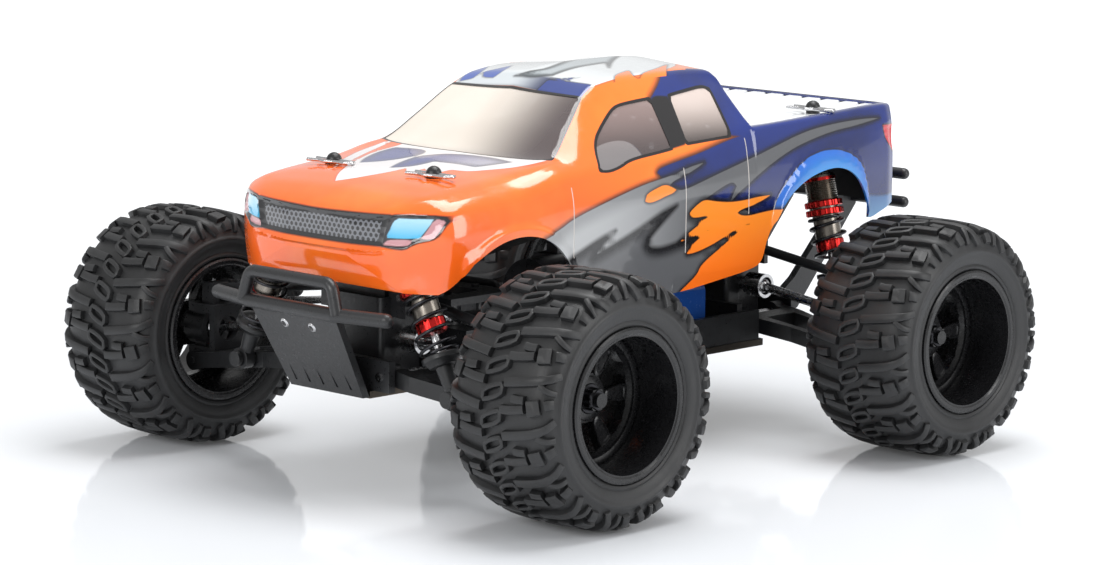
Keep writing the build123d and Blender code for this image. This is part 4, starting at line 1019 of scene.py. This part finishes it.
def side_paint():
    paint = Livery("shell_sides")
    colour = paint.layer(paint.orange(), "blue", paint.blue(), 2.6, 0.95)
    silver = paint.mix(paint.step(paint.y, -58, 30), srgb(186, 188, 190), srgb(96, 97, 100))
    silver = paint.mix(paint.step(paint.attribute("gray"), -7.0, -1.0, (0.0, 0.45)), silver, srgb(88, 90, 94))
    colour = paint.layer(colour, "gray", silver, 2.4, 0.97)
    dark = paint.mix(paint.step(paint.attribute("dark"), -5.0, -0.4), srgb(92, 93, 96), srgb(30, 30, 33))
    colour = paint.layer(colour, "dark", dark, 2.0, 0.9)
    colour = paint.layer(colour, "lick", srgb(255, 140, 46), 1.4, 0.85)
    quarter = paint.mix(paint.step(paint.z, 78, 90), srgb(88, 140, 186), srgb(44, 92, 150))
    colour = paint.layer(colour, "quarter", quarter, 1.2, 0.6, 0.8)
    # Painted highlight: the raised rear flare is painted a lighter blue where light catches it, lightest away
    # from its edge.
    flare = paint.mix(paint.step(paint.attribute("flare"), -7.0, -0.5), srgb(52, 146, 224),
                      srgb(34, 104, 198))
    colour = paint.layer(colour, "flare", flare, 1.3, 0.75)
    flame = paint.mix(paint.step(paint.z, 62, 92), srgb(255, 116, 30), srgb(255, 146, 48))
    colour = paint.layer(colour, "door_flame", flame, 2.4, 0.97)
    colour = paint.mix(paint.step(paint.attribute("tail_lamp"), 0.0, 0.9, (1.0, 0.0)), colour, INK)
    colour = paint.mix(paint.inside("tail_lamp", 0.2), colour, srgb(200, 16, 40))
    colour = paint.mix(paint.inside("pillar", 0.4), colour, INK)
    colour = window_edges(paint, colour)
    seam = seams(paint, paint.y, paint.z)
    # Painted highlight: the panel-line grooves are painted pale where light catches them.
    colour = paint.mix(paint.math("MULTIPLY", seam, 0.8), colour, srgb(222, 214, 208))
    return paint.finish(colour, seam)


def top_paint():
    paint = Livery("shell_top")
    orange = paint.orange()
    colour = paint.layer(orange, "blue", paint.blue(), 2.6, 0.95)
    colour = paint.layer(colour, "hood_white", srgb(238, 234, 234), 1.3, 0.45)
    across = paint.axis("X")
    navy = paint.mix(paint.step(across, 0, 30), srgb(40, 54, 132), srgb(168, 168, 186))
    navy = paint.mix(paint.step(paint.attribute("hood_blade"), -5.0, 0.0, (0.0, 0.55)), navy,
                     srgb(26, 28, 44))
    colour = paint.layer(colour, "hood_blade", navy, 0.9, 0.5, 0.5)
    colour = paint.layer(colour, "roof_white", srgb(214, 218, 220), 1.0, 0.5)
    header = paint.mix(paint.step(across, -4, 14), srgb(196, 202, 206), srgb(34, 44, 84))
    header_edge = paint.step(paint.y, -15.5, -13.0, (1.0, 0.0))
    header_edge = paint.math("MULTIPLY", header_edge, paint.inside("roof_white", 0.3))
    colour = paint.mix(header_edge, colour, header)
    silver = paint.mix(paint.step(paint.attribute("roof_stripe"), -3.0, -0.3), srgb(168, 176, 180),
                       srgb(74, 80, 84))
    colour = paint.layer(colour, "roof_stripe", silver, 1.4, 0.85, 0.4)
    colour = paint.layer(colour, "roof_blade", srgb(62, 88, 164), 1.1, 0.75, 0.4)
    colour = paint.layer(colour, "roof_blue", srgb(40, 60, 128), 1.1, 0.8, 0.4)
    colour = paint.layer(colour, "roof_spike", orange, 1.3, 0.8)
    front_edge = paint.step(paint.y, -23.0, -20.2, (0.9, 0.0))
    front_edge = paint.math("MULTIPLY", front_edge, paint.step(paint.y, -24.5, -23.5))
    colour = paint.mix(paint.math("MULTIPLY", front_edge, paint.step(paint.z, 131.0, 132.0)), colour, INK)
    return paint.finish(window_edges(paint, colour))


def front_paint():
    paint = Livery("shell_front")
    return paint.finish(lamps_and_grille(paint, paint.orange()))


def lamps_and_grille(paint, colour):
    """Printed headlights and a dark mesh grille."""
    edge = paint.step(paint.attribute("headlight"), 0.0, 0.9, (1.0, 0.0))
    colour = paint.mix(edge, colour, INK)
    lamp = paint.mix(paint.inside("lamp_pink", 0.25), srgb(38, 36, 40), srgb(205, 150, 156))
    cyan = paint.mix(paint.step(paint.axis("Z"), 91, 98.5), srgb(68, 186, 232), srgb(176, 224, 246))
    lamp = paint.mix(paint.inside("lamp_cyan", 0.25), lamp, cyan)
    colour = paint.mix(paint.inside("headlight", 0.2), colour, lamp)
    colour = paint.mix(paint.step(paint.attribute("grille"), -0.1, 0.9, (1.0, 0.0)), colour, INK)
    colour = paint.mix(paint.inside("grille", 0.2), colour, srgb(34, 35, 38))
    mesh_colour = paint.mix(grille_holes(paint), srgb(112, 114, 120), srgb(8, 8, 10))
    return paint.mix(paint.inside("grille_mesh", 0.2), colour, mesh_colour)


def grille_holes(paint):
    """Staggered round holes, 2.3 mm apart: 1 in a hole."""
    pitch = 2.3
    x = paint.math("DIVIDE", paint.axis("X"), pitch)
    z = paint.math("DIVIDE", paint.axis("Z"), pitch * 0.72)
    row = paint.math("FLOOR", z)
    odd = paint.math("MULTIPLY", paint.math("MODULO", row, 2.0), 0.5)
    along = paint.math("SUBTRACT", paint.math("FRACT", paint.math("ADD", x, odd)), 0.5)
    up = paint.math("MULTIPLY", paint.math("SUBTRACT", paint.math("FRACT", z), 0.5), 0.72)
    reach = paint.math("SQRT", paint.math("ADD", paint.math("MULTIPLY", along, along),
                                          paint.math("MULTIPLY", up, up)))
    return paint.step(reach, 0.27, 0.34, (1.0, 0.0))


def window_edges(paint, colour):
    distance = paint.attribute("window")
    return paint.mix(paint.step(distance, 0.8, 1.1, (1.0, 0.0)), colour, INK)


def seams(paint, y, z):
    """Thin panel lines of the doors and the bed, one for each (y, low z, high z): grooves with a painted pale
    highlight along them.
    """
    total = 0.0
    for place, low, high in ((-46.3, 80, 105), (11.5, 76, 107), (45.5, 87, 115)):
        gap = paint.math("ABSOLUTE", paint.math("SUBTRACT", y, place))
        line = paint.step(gap, 0.1, 0.3, (1.0, 0.0))
        line = paint.math("MULTIPLY", line, paint.step(z, low, low + 0.5))
        line = paint.math("MULTIPLY", line, paint.step(z, high - 0.5, high, (1.0, 0.0)))
        total = paint.math("MAXIMUM", total, line)
    side = paint.math("ABSOLUTE", paint.axis("X"))
    return paint.math("MULTIPLY", total, paint.step(side, 51.0, 52.0))


def smoked_glass(name):
    """Smoke-tinted window, glossy and partly see-through, with a painted reflection that makes it paler
    towards one end.
    """
    paint = Paint(name, (0.08, 0.07, 0.068), 0.05)
    paint.set("Coat Weight", 0.5)
    # Painted reflection: each window is painted paler towards one end for the studio light reflected in it.
    # The dark smoke is the glass's own tint.
    if name == "windshield":
        reflection_fade = paint.step(paint.axis("X"), -10.0, 34.0)
        tint_and_reflection = paint.mix(reflection_fade, srgb(238, 228, 216), srgb(92, 82, 82))
    elif name == "side_glass":
        reflection_fade = paint.step(paint.axis("Z"), 112.0, 131.0)
        rear = paint.step(paint.axis("Y"), 8.0, 14.0)
        front_tint_and_reflection = paint.mix(reflection_fade, srgb(84, 75, 75), srgb(150, 130, 126))
        rear_tint_and_reflection = paint.mix(reflection_fade, srgb(56, 50, 50), srgb(214, 198, 190))
        tint_and_reflection = paint.mix(rear, front_tint_and_reflection, rear_tint_and_reflection)
    else:
        tint_and_reflection = paint.mix(paint.step(paint.axis("Z"), 121.0, 133.0), srgb(60, 55, 55), srgb(140, 128, 124))
    paint.set("Base Color", tint_and_reflection)
    paint.set("Alpha", 0.86)
    streak = paint.noise(14.0, 2.0)
    paint.set("Roughness", paint.step(streak, 0.3, 0.7, (0.03, 0.09)))
    return paint.material


# ---------------------------------------------------------------- bed floor
def build_bed():
    """Ribbed cargo floor between the bed rails: lengthwise ribs with rounded grooves between them."""
    half, start, end = BED
    pitch, groove = 9.4, 1.9
    across = np.linspace(-half - 0.2, half + 0.2, 161)
    phase = np.abs(((across / pitch) % 1.0) - 0.5) * 2
    drop = 0.6 + groove * smoothstep(phase, 0.62, 0.9)
    drop = np.where(np.abs(across) > half - 1.0, 0.2, drop)
    stations = np.linspace(start - 0.2, end + 0.2, 12)
    level = np.interp(stations, [51.0, 90.0, 126.0, 131.0], [117.9, 119.4, 120.8, 121.2])
    vertices = [(x, y, z - d) for y, z in zip(stations, level) for x, d in zip(across, drop)]
    vertices += [(x, y, z - 2.9) for y, z in zip(stations, level) for x in across]
    count = len(across)
    layer = count * len(stations)
    faces = []
    for i in range(len(stations) - 1):
        for j in range(count - 1):
            a = i * count + j
            quad = [a, a + 1, a + count + 1, a + count]
            faces.append(quad)
            faces.append([layer + v for v in reversed(quad)])
    values = np.array([hole_distance(v) for v in vertices])
    keep = [f for f in faces if not all(values[v] < 0 for v in f)]
    vertices, keep, _ = compact(np.array(vertices), keep)
    paint = Paint("bed_white", srgb(236, 238, 240), 0.3)
    paint.set("Coat Weight", 0.4)
    phase = paint.math("FRACT", paint.math("ADD", paint.math("DIVIDE", paint.axis("X"), pitch), 10.0))
    phase = paint.math("ABSOLUTE", paint.math("MULTIPLY", paint.math("SUBTRACT", phase, 0.5), 2.0))
    edge = paint.step(paint.math("ABSOLUTE", paint.axis("X")), half - 1.2, half - 0.9, (1.0, 0.0))
    shadow = paint.math("MULTIPLY", paint.step(phase, 0.66, 0.9), edge)
    paint.set("Base Color", paint.mix(shadow, srgb(238, 240, 241), srgb(58, 60, 66)))
    new_mesh("bed_floor", vertices, keep, paint.material, "chassis", (), None, 50.0)


def hole_distance(point):
    x, y = POST_HOLES[1]
    return math.hypot(abs(point[0]) - x, point[1] - y) - POST_HOLE_R


# ---------------------------------------------------------------- tyres
# Tyre surface from the middle of the tread to the side wall, as (offset along the axle, radius)
LUG_TOP = [(0, 43.2), (8, 43.15), (15, 42.75), (18.5, 42.0), (20.6, 41.0), (22.2, 39.2), (22.9, 36.6),
           (23.1, 34.4)]
LUG_FOOT = [(0, 40.9), (8, 40.8), (14.6, 40.3), (17.6, 39.7), (19.4, 38.9), (20.9, 37.4), (21.6, 35.6),
            (22.0, 33.8)]
CARCASS = [(20.4, 24.9), (20.6, 26.4), (21.5, 26.7), (21.9, 27.5), (21.5, 28.3), (22.0, 29.0), (22.5, 31.2),
           (22.6, 32.3), (23.05, 32.8), (23.1, 33.5), (22.7, 34.1), (22.2, 34.7), (21.9, 36.0), (20.9, 37.9),
           (19.0, 39.5), (16.0, 40.5), (10.0, 41.1), (0.0, 41.2)]
LUG_PITCH = 24.0
LUG_COUNT = 15
LINK_COUNT = 30


def path_point(path, along):
    """Point at an arc length of the lug's upper path, taken on any path with as many points."""
    lengths = np.concatenate([[0], np.cumsum(np.hypot(*np.diff(np.array(LUG_TOP), axis=0).T))])
    path = np.array(path)
    return np.interp(along, lengths, path[:, 0]), np.interp(along, lengths, path[:, 1])


class Tread(Builder):
    """Tread blocks drawn flat, s across the tyre from its middle and v round it, then bent onto the tyre."""

    def __init__(self, centre, side):
        super().__init__()
        self.centre = centre
        self.side = side

    def on_tyre(self, s, v, path, turn, hand):
        x, radius = path_point(path, abs(s))
        x = math.copysign(x, s) * hand
        angle = v / 42.0 + turn
        return (self.centre[0] + x * self.side, self.centre[1] + radius * math.sin(angle),
                self.centre[2] + radius * math.cos(angle))

    def strip(self, line, width, turn, hand, closed=False):
        """A raised bar of a width along a line of (s, v) points, with bevelled upper edges."""
        line = np.array(line, float)
        count = len(line)
        vertices = []
        for k in range(count):
            before = line[k - 1] if k or closed else line[k]
            after = line[(k + 1) % count] if k < count - 1 or closed else line[k]
            along = after - before
            along /= np.linalg.norm(along)
            normal = np.array([-along[1], along[0]])
            half = (width[k] if isinstance(width, (list, tuple)) else width) / 2
            for reach, path, sink in ((half + 0.25, LUG_FOOT, 0), (half, LUG_TOP, 0.12),
                                      (half - 0.4, LUG_TOP, 0),
                                      (0.4 - half, LUG_TOP, 0), (-half, LUG_TOP, 0.12),
                                      (-half - 0.25, LUG_FOOT, 0)):
                s, v = line[k] + normal * reach
                top = np.array(self.on_tyre(s, v, path, turn, hand))
                if sink:
                    foot = np.array(self.on_tyre(s, v, LUG_FOOT, turn, hand))
                    top = top + (foot - top) * sink
                vertices.append(top)
        faces = []
        for k in range(count if closed else count - 1):
            n = (k + 1) % count
            for j in range(5):
                faces.append((k * 6 + j, k * 6 + j + 1, n * 6 + j + 1, n * 6 + j))
        if not closed:
            faces += [tuple(range(5, -1, -1)), tuple((count - 1) * 6 + j for j in range(6))]
        if hand * self.side < 0:
            faces = [f[::-1] for f in faces]
        self.add(vertices, faces)


def curve(points, steps):
    """Smooth line through a few points."""
    points = np.array(points, float)
    t = np.linspace(0, len(points) - 1, steps)
    k = np.arange(len(points))
    return np.column_stack([pchip(k, points[:, 0], t), pchip(k, points[:, 1], t)])


def build_tyre(corner):
    side = 1 if corner[1] == "l" else -1
    centre = wheel_centre(corner) - (0, SHIFT_Y, 0)
    tread = Tread(centre, side)
    steps = 120 if FINE < 2 else 72
    profile = CARCASS + [(-u, r) for u, r in reversed(CARCASS[:-1])]
    tread.lathe(centre, (side, 0, 0), profile, steps, closed=True)
    long_main = curve([(5.0, -2.2), (12.0, -1.2), (18.0, -0.1), (22.5, 1.4), (26.6, 3.8)], 14)
    long_prong = curve([(19.2, -1.4), (21.5, -2.6), (24.0, -3.2), (26.2, -3.2)], 7)
    short_bar = [(4.2, 6.5), (7.0, 6.6), (9.5, 6.9), (12.5, 7.4), (14.4, 7.8)]
    notch = [(9.0, 10.6), (11.5, 10.4), (14.2, 10.6)]
    shoulder = curve([(15.8, 8.0), (18.2, 8.5), (20.4, 9.0)], 4)
    tip = curve([(22.0, 9.6), (24.2, 10.2), (25.6, 10.4)], 4)
    link = [(-4.1, -2.2), (-3.6, -3.0), (-1.2, -2.4), (2.0, -1.2), (4.1, 0.2), (4.2, 1.9), (3.4, 2.9),
            (1.2, 2.4),
            (-2.0, 1.2), (-4.0, -0.2)]
    for k in range(LUG_COUNT):
        turn = math.radians(LUG_PITCH * k)
        for hand in (1, -1):
            place = turn + (math.radians(LUG_PITCH / 2) if hand < 0 else 0.0)
            tread.strip(long_main, [3.0] * 9 + [2.7] * 5, place, hand)
            tread.strip(long_prong, 1.9, place, hand)
            tread.strip(short_bar, 2.8, place, hand)
            tread.strip(notch, 2.6, place, hand)
            tread.strip(shoulder, 5.2, place, hand)
            tread.strip(tip, 3.4, place, hand)
    for k in range(LINK_COUNT):
        tread.strip(link, 1.5, math.radians(LUG_PITCH / 2 * k + 4), 1, closed=True)
    tread.piece(f"tread_{corner}", MATERIALS["tyre"], f"wheel_{corner}", "tyre_rubber", [f"tyre_{corner}"],
                40.0)


# ---------------------------------------------------------------- rims
def build_rim_details(corner):
    """Raised spoke panels, bead ring, rim lips, hub collar and wheel nut, added to the CAD rim."""
    side = 1 if corner[1] == "l" else -1
    centre = wheel_centre(corner) - (0, SHIFT_Y, 0)
    part = Builder()
    ring = [(3.9, 20.3), (4.7, 20.5), (4.9, 21.2), (4.9, 22.6), (4.6, 23.1), (3.9, 23.25)]
    part.lathe(centre, (side, 0, 0), ring, 96, closed=True)
    lip = [(21.3, 23.3), (21.8, 23.5), (22.3, 24.2), (22.35, 25.4), (21.9, 26.1), (21.2, 26.2), (20.8, 25.4)]
    part.lathe(centre, (side, 0, 0), lip, 96, closed=True)
    part.lathe(centre, (-side, 0, 0), lip, 96, closed=True)
    hub = [(2.2, 6.6), (3.0, 7.6), (3.4, 7.4), (3.7, 6.2), (3.7, 4.8), (2.2, 4.8)]
    part.lathe(centre, (side, 0, 0), hub, 48, closed=True)
    for k in range(6):
        spoke = math.radians(60 * k + 30)
        outline = [(8.6, -1.7), (18.6, -3.5), (19.4, 0.0), (18.6, 3.5), (8.6, 1.7), (8.0, 0.0)]
        add_panel(part, centre, side, spoke, outline)
    part.piece(f"rim_trim_{corner}", MATERIALS["rim"], f"wheel_{corner}", "rim_plastic", (), 32.0)
    nut = Builder()
    flange = [(3.0, 2.6), (3.0, 5.0), (3.6, 5.3), (4.1, 4.9), (4.1, 2.6)]
    nut.lathe(centre, (side, 0, 0), flange, 36, closed=True)
    nut.lathe(centre, (side, 0, 0), [(4.1, 2.6), (4.1, 4.1), (7.1, 4.1), (7.7, 3.5), (7.7, 2.6)], 6,
              closed=True)
    nut.piece(f"wheel_nut_{corner}", MATERIALS["dark_steel"], f"wheel_{corner}", "steel", (), 30.0)


def add_panel(part, centre, side, spoke, outline):
    """A thin raised panel with a bevelled edge, standing on one spoke of the rim."""
    outline = smooth_outline(outline, 2, 95.0)
    middle = outline.mean(axis=0)
    rings = ((1.0, 0.0), (1.0, 0.9), (0.9, 1.15), (0.78, 1.15), (0.72, 0.8), (0.3, 0.75))
    vertices = []
    for scale, rise in rings:
        for radius, across in middle + (outline - middle) * scale:
            base = 2.4 + (np.clip(radius, 8, 19.5) - 8) * -0.035
            x = centre[0] + side * (base - 0.5 + rise)
            vertices.append((x, centre[1] + radius * math.sin(spoke) + across * math.cos(spoke),
                             centre[2] + radius * math.cos(spoke) - across * math.sin(spoke)))
    count = len(outline)
    faces = []
    for k in range(len(rings) - 1):
        for i in range(count):
            j = (i + 1) % count
            faces.append((k * count + i, k * count + j, (k + 1) * count + j, (k + 1) * count + i))
    faces.append(tuple((len(rings) - 1) * count + i for i in range(count)))
    part.add(vertices, [f if side > 0 else f[::-1] for f in faces])


# ---------------------------------------------------------------- small fittings
def hex_screw(part, place, axis, radius, height):
    """Button-head screw, with its socket turned as a round recess."""
    part.lathe(place, axis, [(0, radius), (height * 0.5, radius * 0.96), (height * 0.9, radius * 0.75),
                             (height, radius * 0.55), (height * 0.45, radius * 0.5)], 28)


def build_fittings():
    """The two screws in the skid plate."""
    screws = Builder()
    outward = (0.0, -math.cos(math.radians(28)), -math.sin(math.radians(28)))
    for x in (-7.0, 7.0):
        hex_screw(screws, (x, -124.9, 59.1), outward, 2.0, 1.1)
    screws.piece("skid_screws", MATERIALS["steel"], "chassis", "steel", (), 30.0)


# ---------------------------------------------------------------- dampers and springs
DAMPER_TOP = {"f": (28.7, 89.7), "r": (38.3, 99.8)}
DAMPER_FOOT = {"f": (54.2, 37.6), "r": (52.2, 43.5)}
DAMPER_LENGTH = 58.0
DAMPER_Y = 103.0
SPRING_ENDS = (20.6, 41.9)


def damper_frame(corner):
    side = 1 if corner[1] == "l" else -1
    end = -1 if corner[0] == "f" else 1
    x0, z0 = DAMPER_TOP[corner[0]]
    x1, z1 = DAMPER_FOOT[corner[0]]
    top = np.array([side * x0, end * DAMPER_Y, z0])
    foot = np.array([side * x1, end * DAMPER_Y, z1])
    return top, foot, (foot - top) / np.linalg.norm(foot - top)


def knurl(count, depth, rows):
    return lambda angle, k: (depth if math.cos(angle * count) > 0 else -depth) if k in rows else 0.0


def build_damper(corner):
    top, foot, axis = damper_frame(corner)
    body = Builder()
    threads = [(6.4, 5.95)]
    for k in range(10):
        threads += [(6.8 + 0.8 * k, 5.55), (7.2 + 0.8 * k, 5.95)]
    profile = [(3.4, 2.3), (3.6, 3.4), (4.6, 4.9), (5.2, 5.9)] + threads + [(15.0, 5.7), (20.0, 5.6),
                                                                            (20.4, 5.0),
                                                                         (29.6, 5.0), (29.6, 2.0)]
    body.lathe(top, axis, profile, 48)
    eye = [(-2.4, 1.6), (-2.4, 2.9), (-2.0, 3.25), (2.0, 3.25), (2.4, 2.9), (2.4, 1.6)]
    body.lathe(top, (0, 1, 0), eye, 32, closed=True)
    body.lathe(top, axis, [(2.4, 2.3), (5.0, 2.5)], 24)
    collars = Builder()
    for start in (14.8, 17.9):
        ring = [(start, 5.2), (start, 6.8), (start + 0.3, 7.1), (start + 2.1, 7.1), (start + 2.4, 6.8),
                (start + 2.4, 5.2)]
        collars.lathe(top, axis, ring, 96, closed=True, wave=knurl(24, 0.1, (2, 3)))
    collars.lathe(top, axis, [(6.0, 5.2), (6.0, 6.15), (7.2, 6.15), (7.2, 5.2)], 48, closed=True)
    cap = [(29.5, 2.0), (29.5, 5.0), (29.9, 5.3), (33.6, 5.3), (34.5, 4.4), (34.5, 1.8)]
    collars.lathe(top, axis, cap, 64, closed=True, wave=knurl(16, 0.08, (2, 3)))
    body.piece(f"damper_body_{corner}", MATERIALS["bronze"], f"damper_{corner}", "damper_metal",
               [f"shock_cylinder_{corner}"], 30.0)
    collars.piece(f"damper_collars_{corner}", MATERIALS["red_anodised"], f"damper_{corner}", "damper_metal",
                  (), 30.0)
    rod = Builder()
    rod.lathe(top, axis, [(24.0, 1.5), (47.0, 1.5)], 24)
    rod.piece(f"damper_rod_{corner}", MATERIALS["steel"], f"damper_rod_{corner}", "steel",
              [f"shock_rod_{corner}"], 30.0)
    end = Builder()
    cup = [(42.1, 1.6), (42.1, 6.7), (42.5, 7.0), (43.8, 7.0), (44.2, 6.2), (46.0, 5.0), (46.4, 3.2),
           (54.6, 2.5),
           (54.6, 1.6)]
    end.lathe(top, axis, cup, 48, closed=True)
    eye = [(-2.4, 2.25), (-2.4, 3.7), (-2.0, 4.0), (2.0, 4.0), (2.4, 3.7), (2.4, 2.25)]
    end.lathe(foot, (0, 1, 0), eye, 36, closed=True)
    end.piece(f"damper_end_{corner}", MATERIALS["nylon"], f"damper_rod_{corner}", "black_plastic", (), 30.0)
    build_spring(corner, top, axis)


def build_spring(corner, top, axis):
    """Coil spring round the damper, with closed end turns, built as one fixed tube."""
    start, end = SPRING_ENDS
    turns = 5.2
    side = np.cross(axis, (0, 1, 0))
    third = np.cross(axis, side)
    steps = int(turns * 30)
    path = []
    for k in range(steps + 1):
        t = k / steps
        wound = t * turns
        rise = np.interp(wound, [0, 0.8, turns - 0.8, turns], [0.0, 0.05, 0.95, 1.0])
        angle = 2 * math.pi * wound
        along = start + 0.6 + (end - start - 1.2) * rise
        path.append(top + axis * along + (side * math.cos(angle) + third * math.sin(angle)) * 6.4)
    coil = Builder()
    coil.tube(path, 0.62, 8)
    mesh = bpy.data.meshes.new(f"spring_coil_{corner}")
    mesh.from_pydata(to_frame(coil.vertices).tolist(), [], coil.faces)
    mesh.materials.append(MATERIALS["dark_steel"])
    mesh.shade_smooth()
    spring = bpy.data.objects.new(f"spring_coil_{corner}", mesh)
    bpy.context.scene.collection.objects.link(spring)
    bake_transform(spring)
    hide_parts(f"spring_{corner}")


# ---------------------------------------------------------------- run
make_studio()
make_camera()
dress_cad()
build_shell()
build_bed()
build_fittings()
for CORNER in CORNERS:
    build_tyre(CORNER)
    build_rim_details(CORNER)
    build_damper(CORNER)
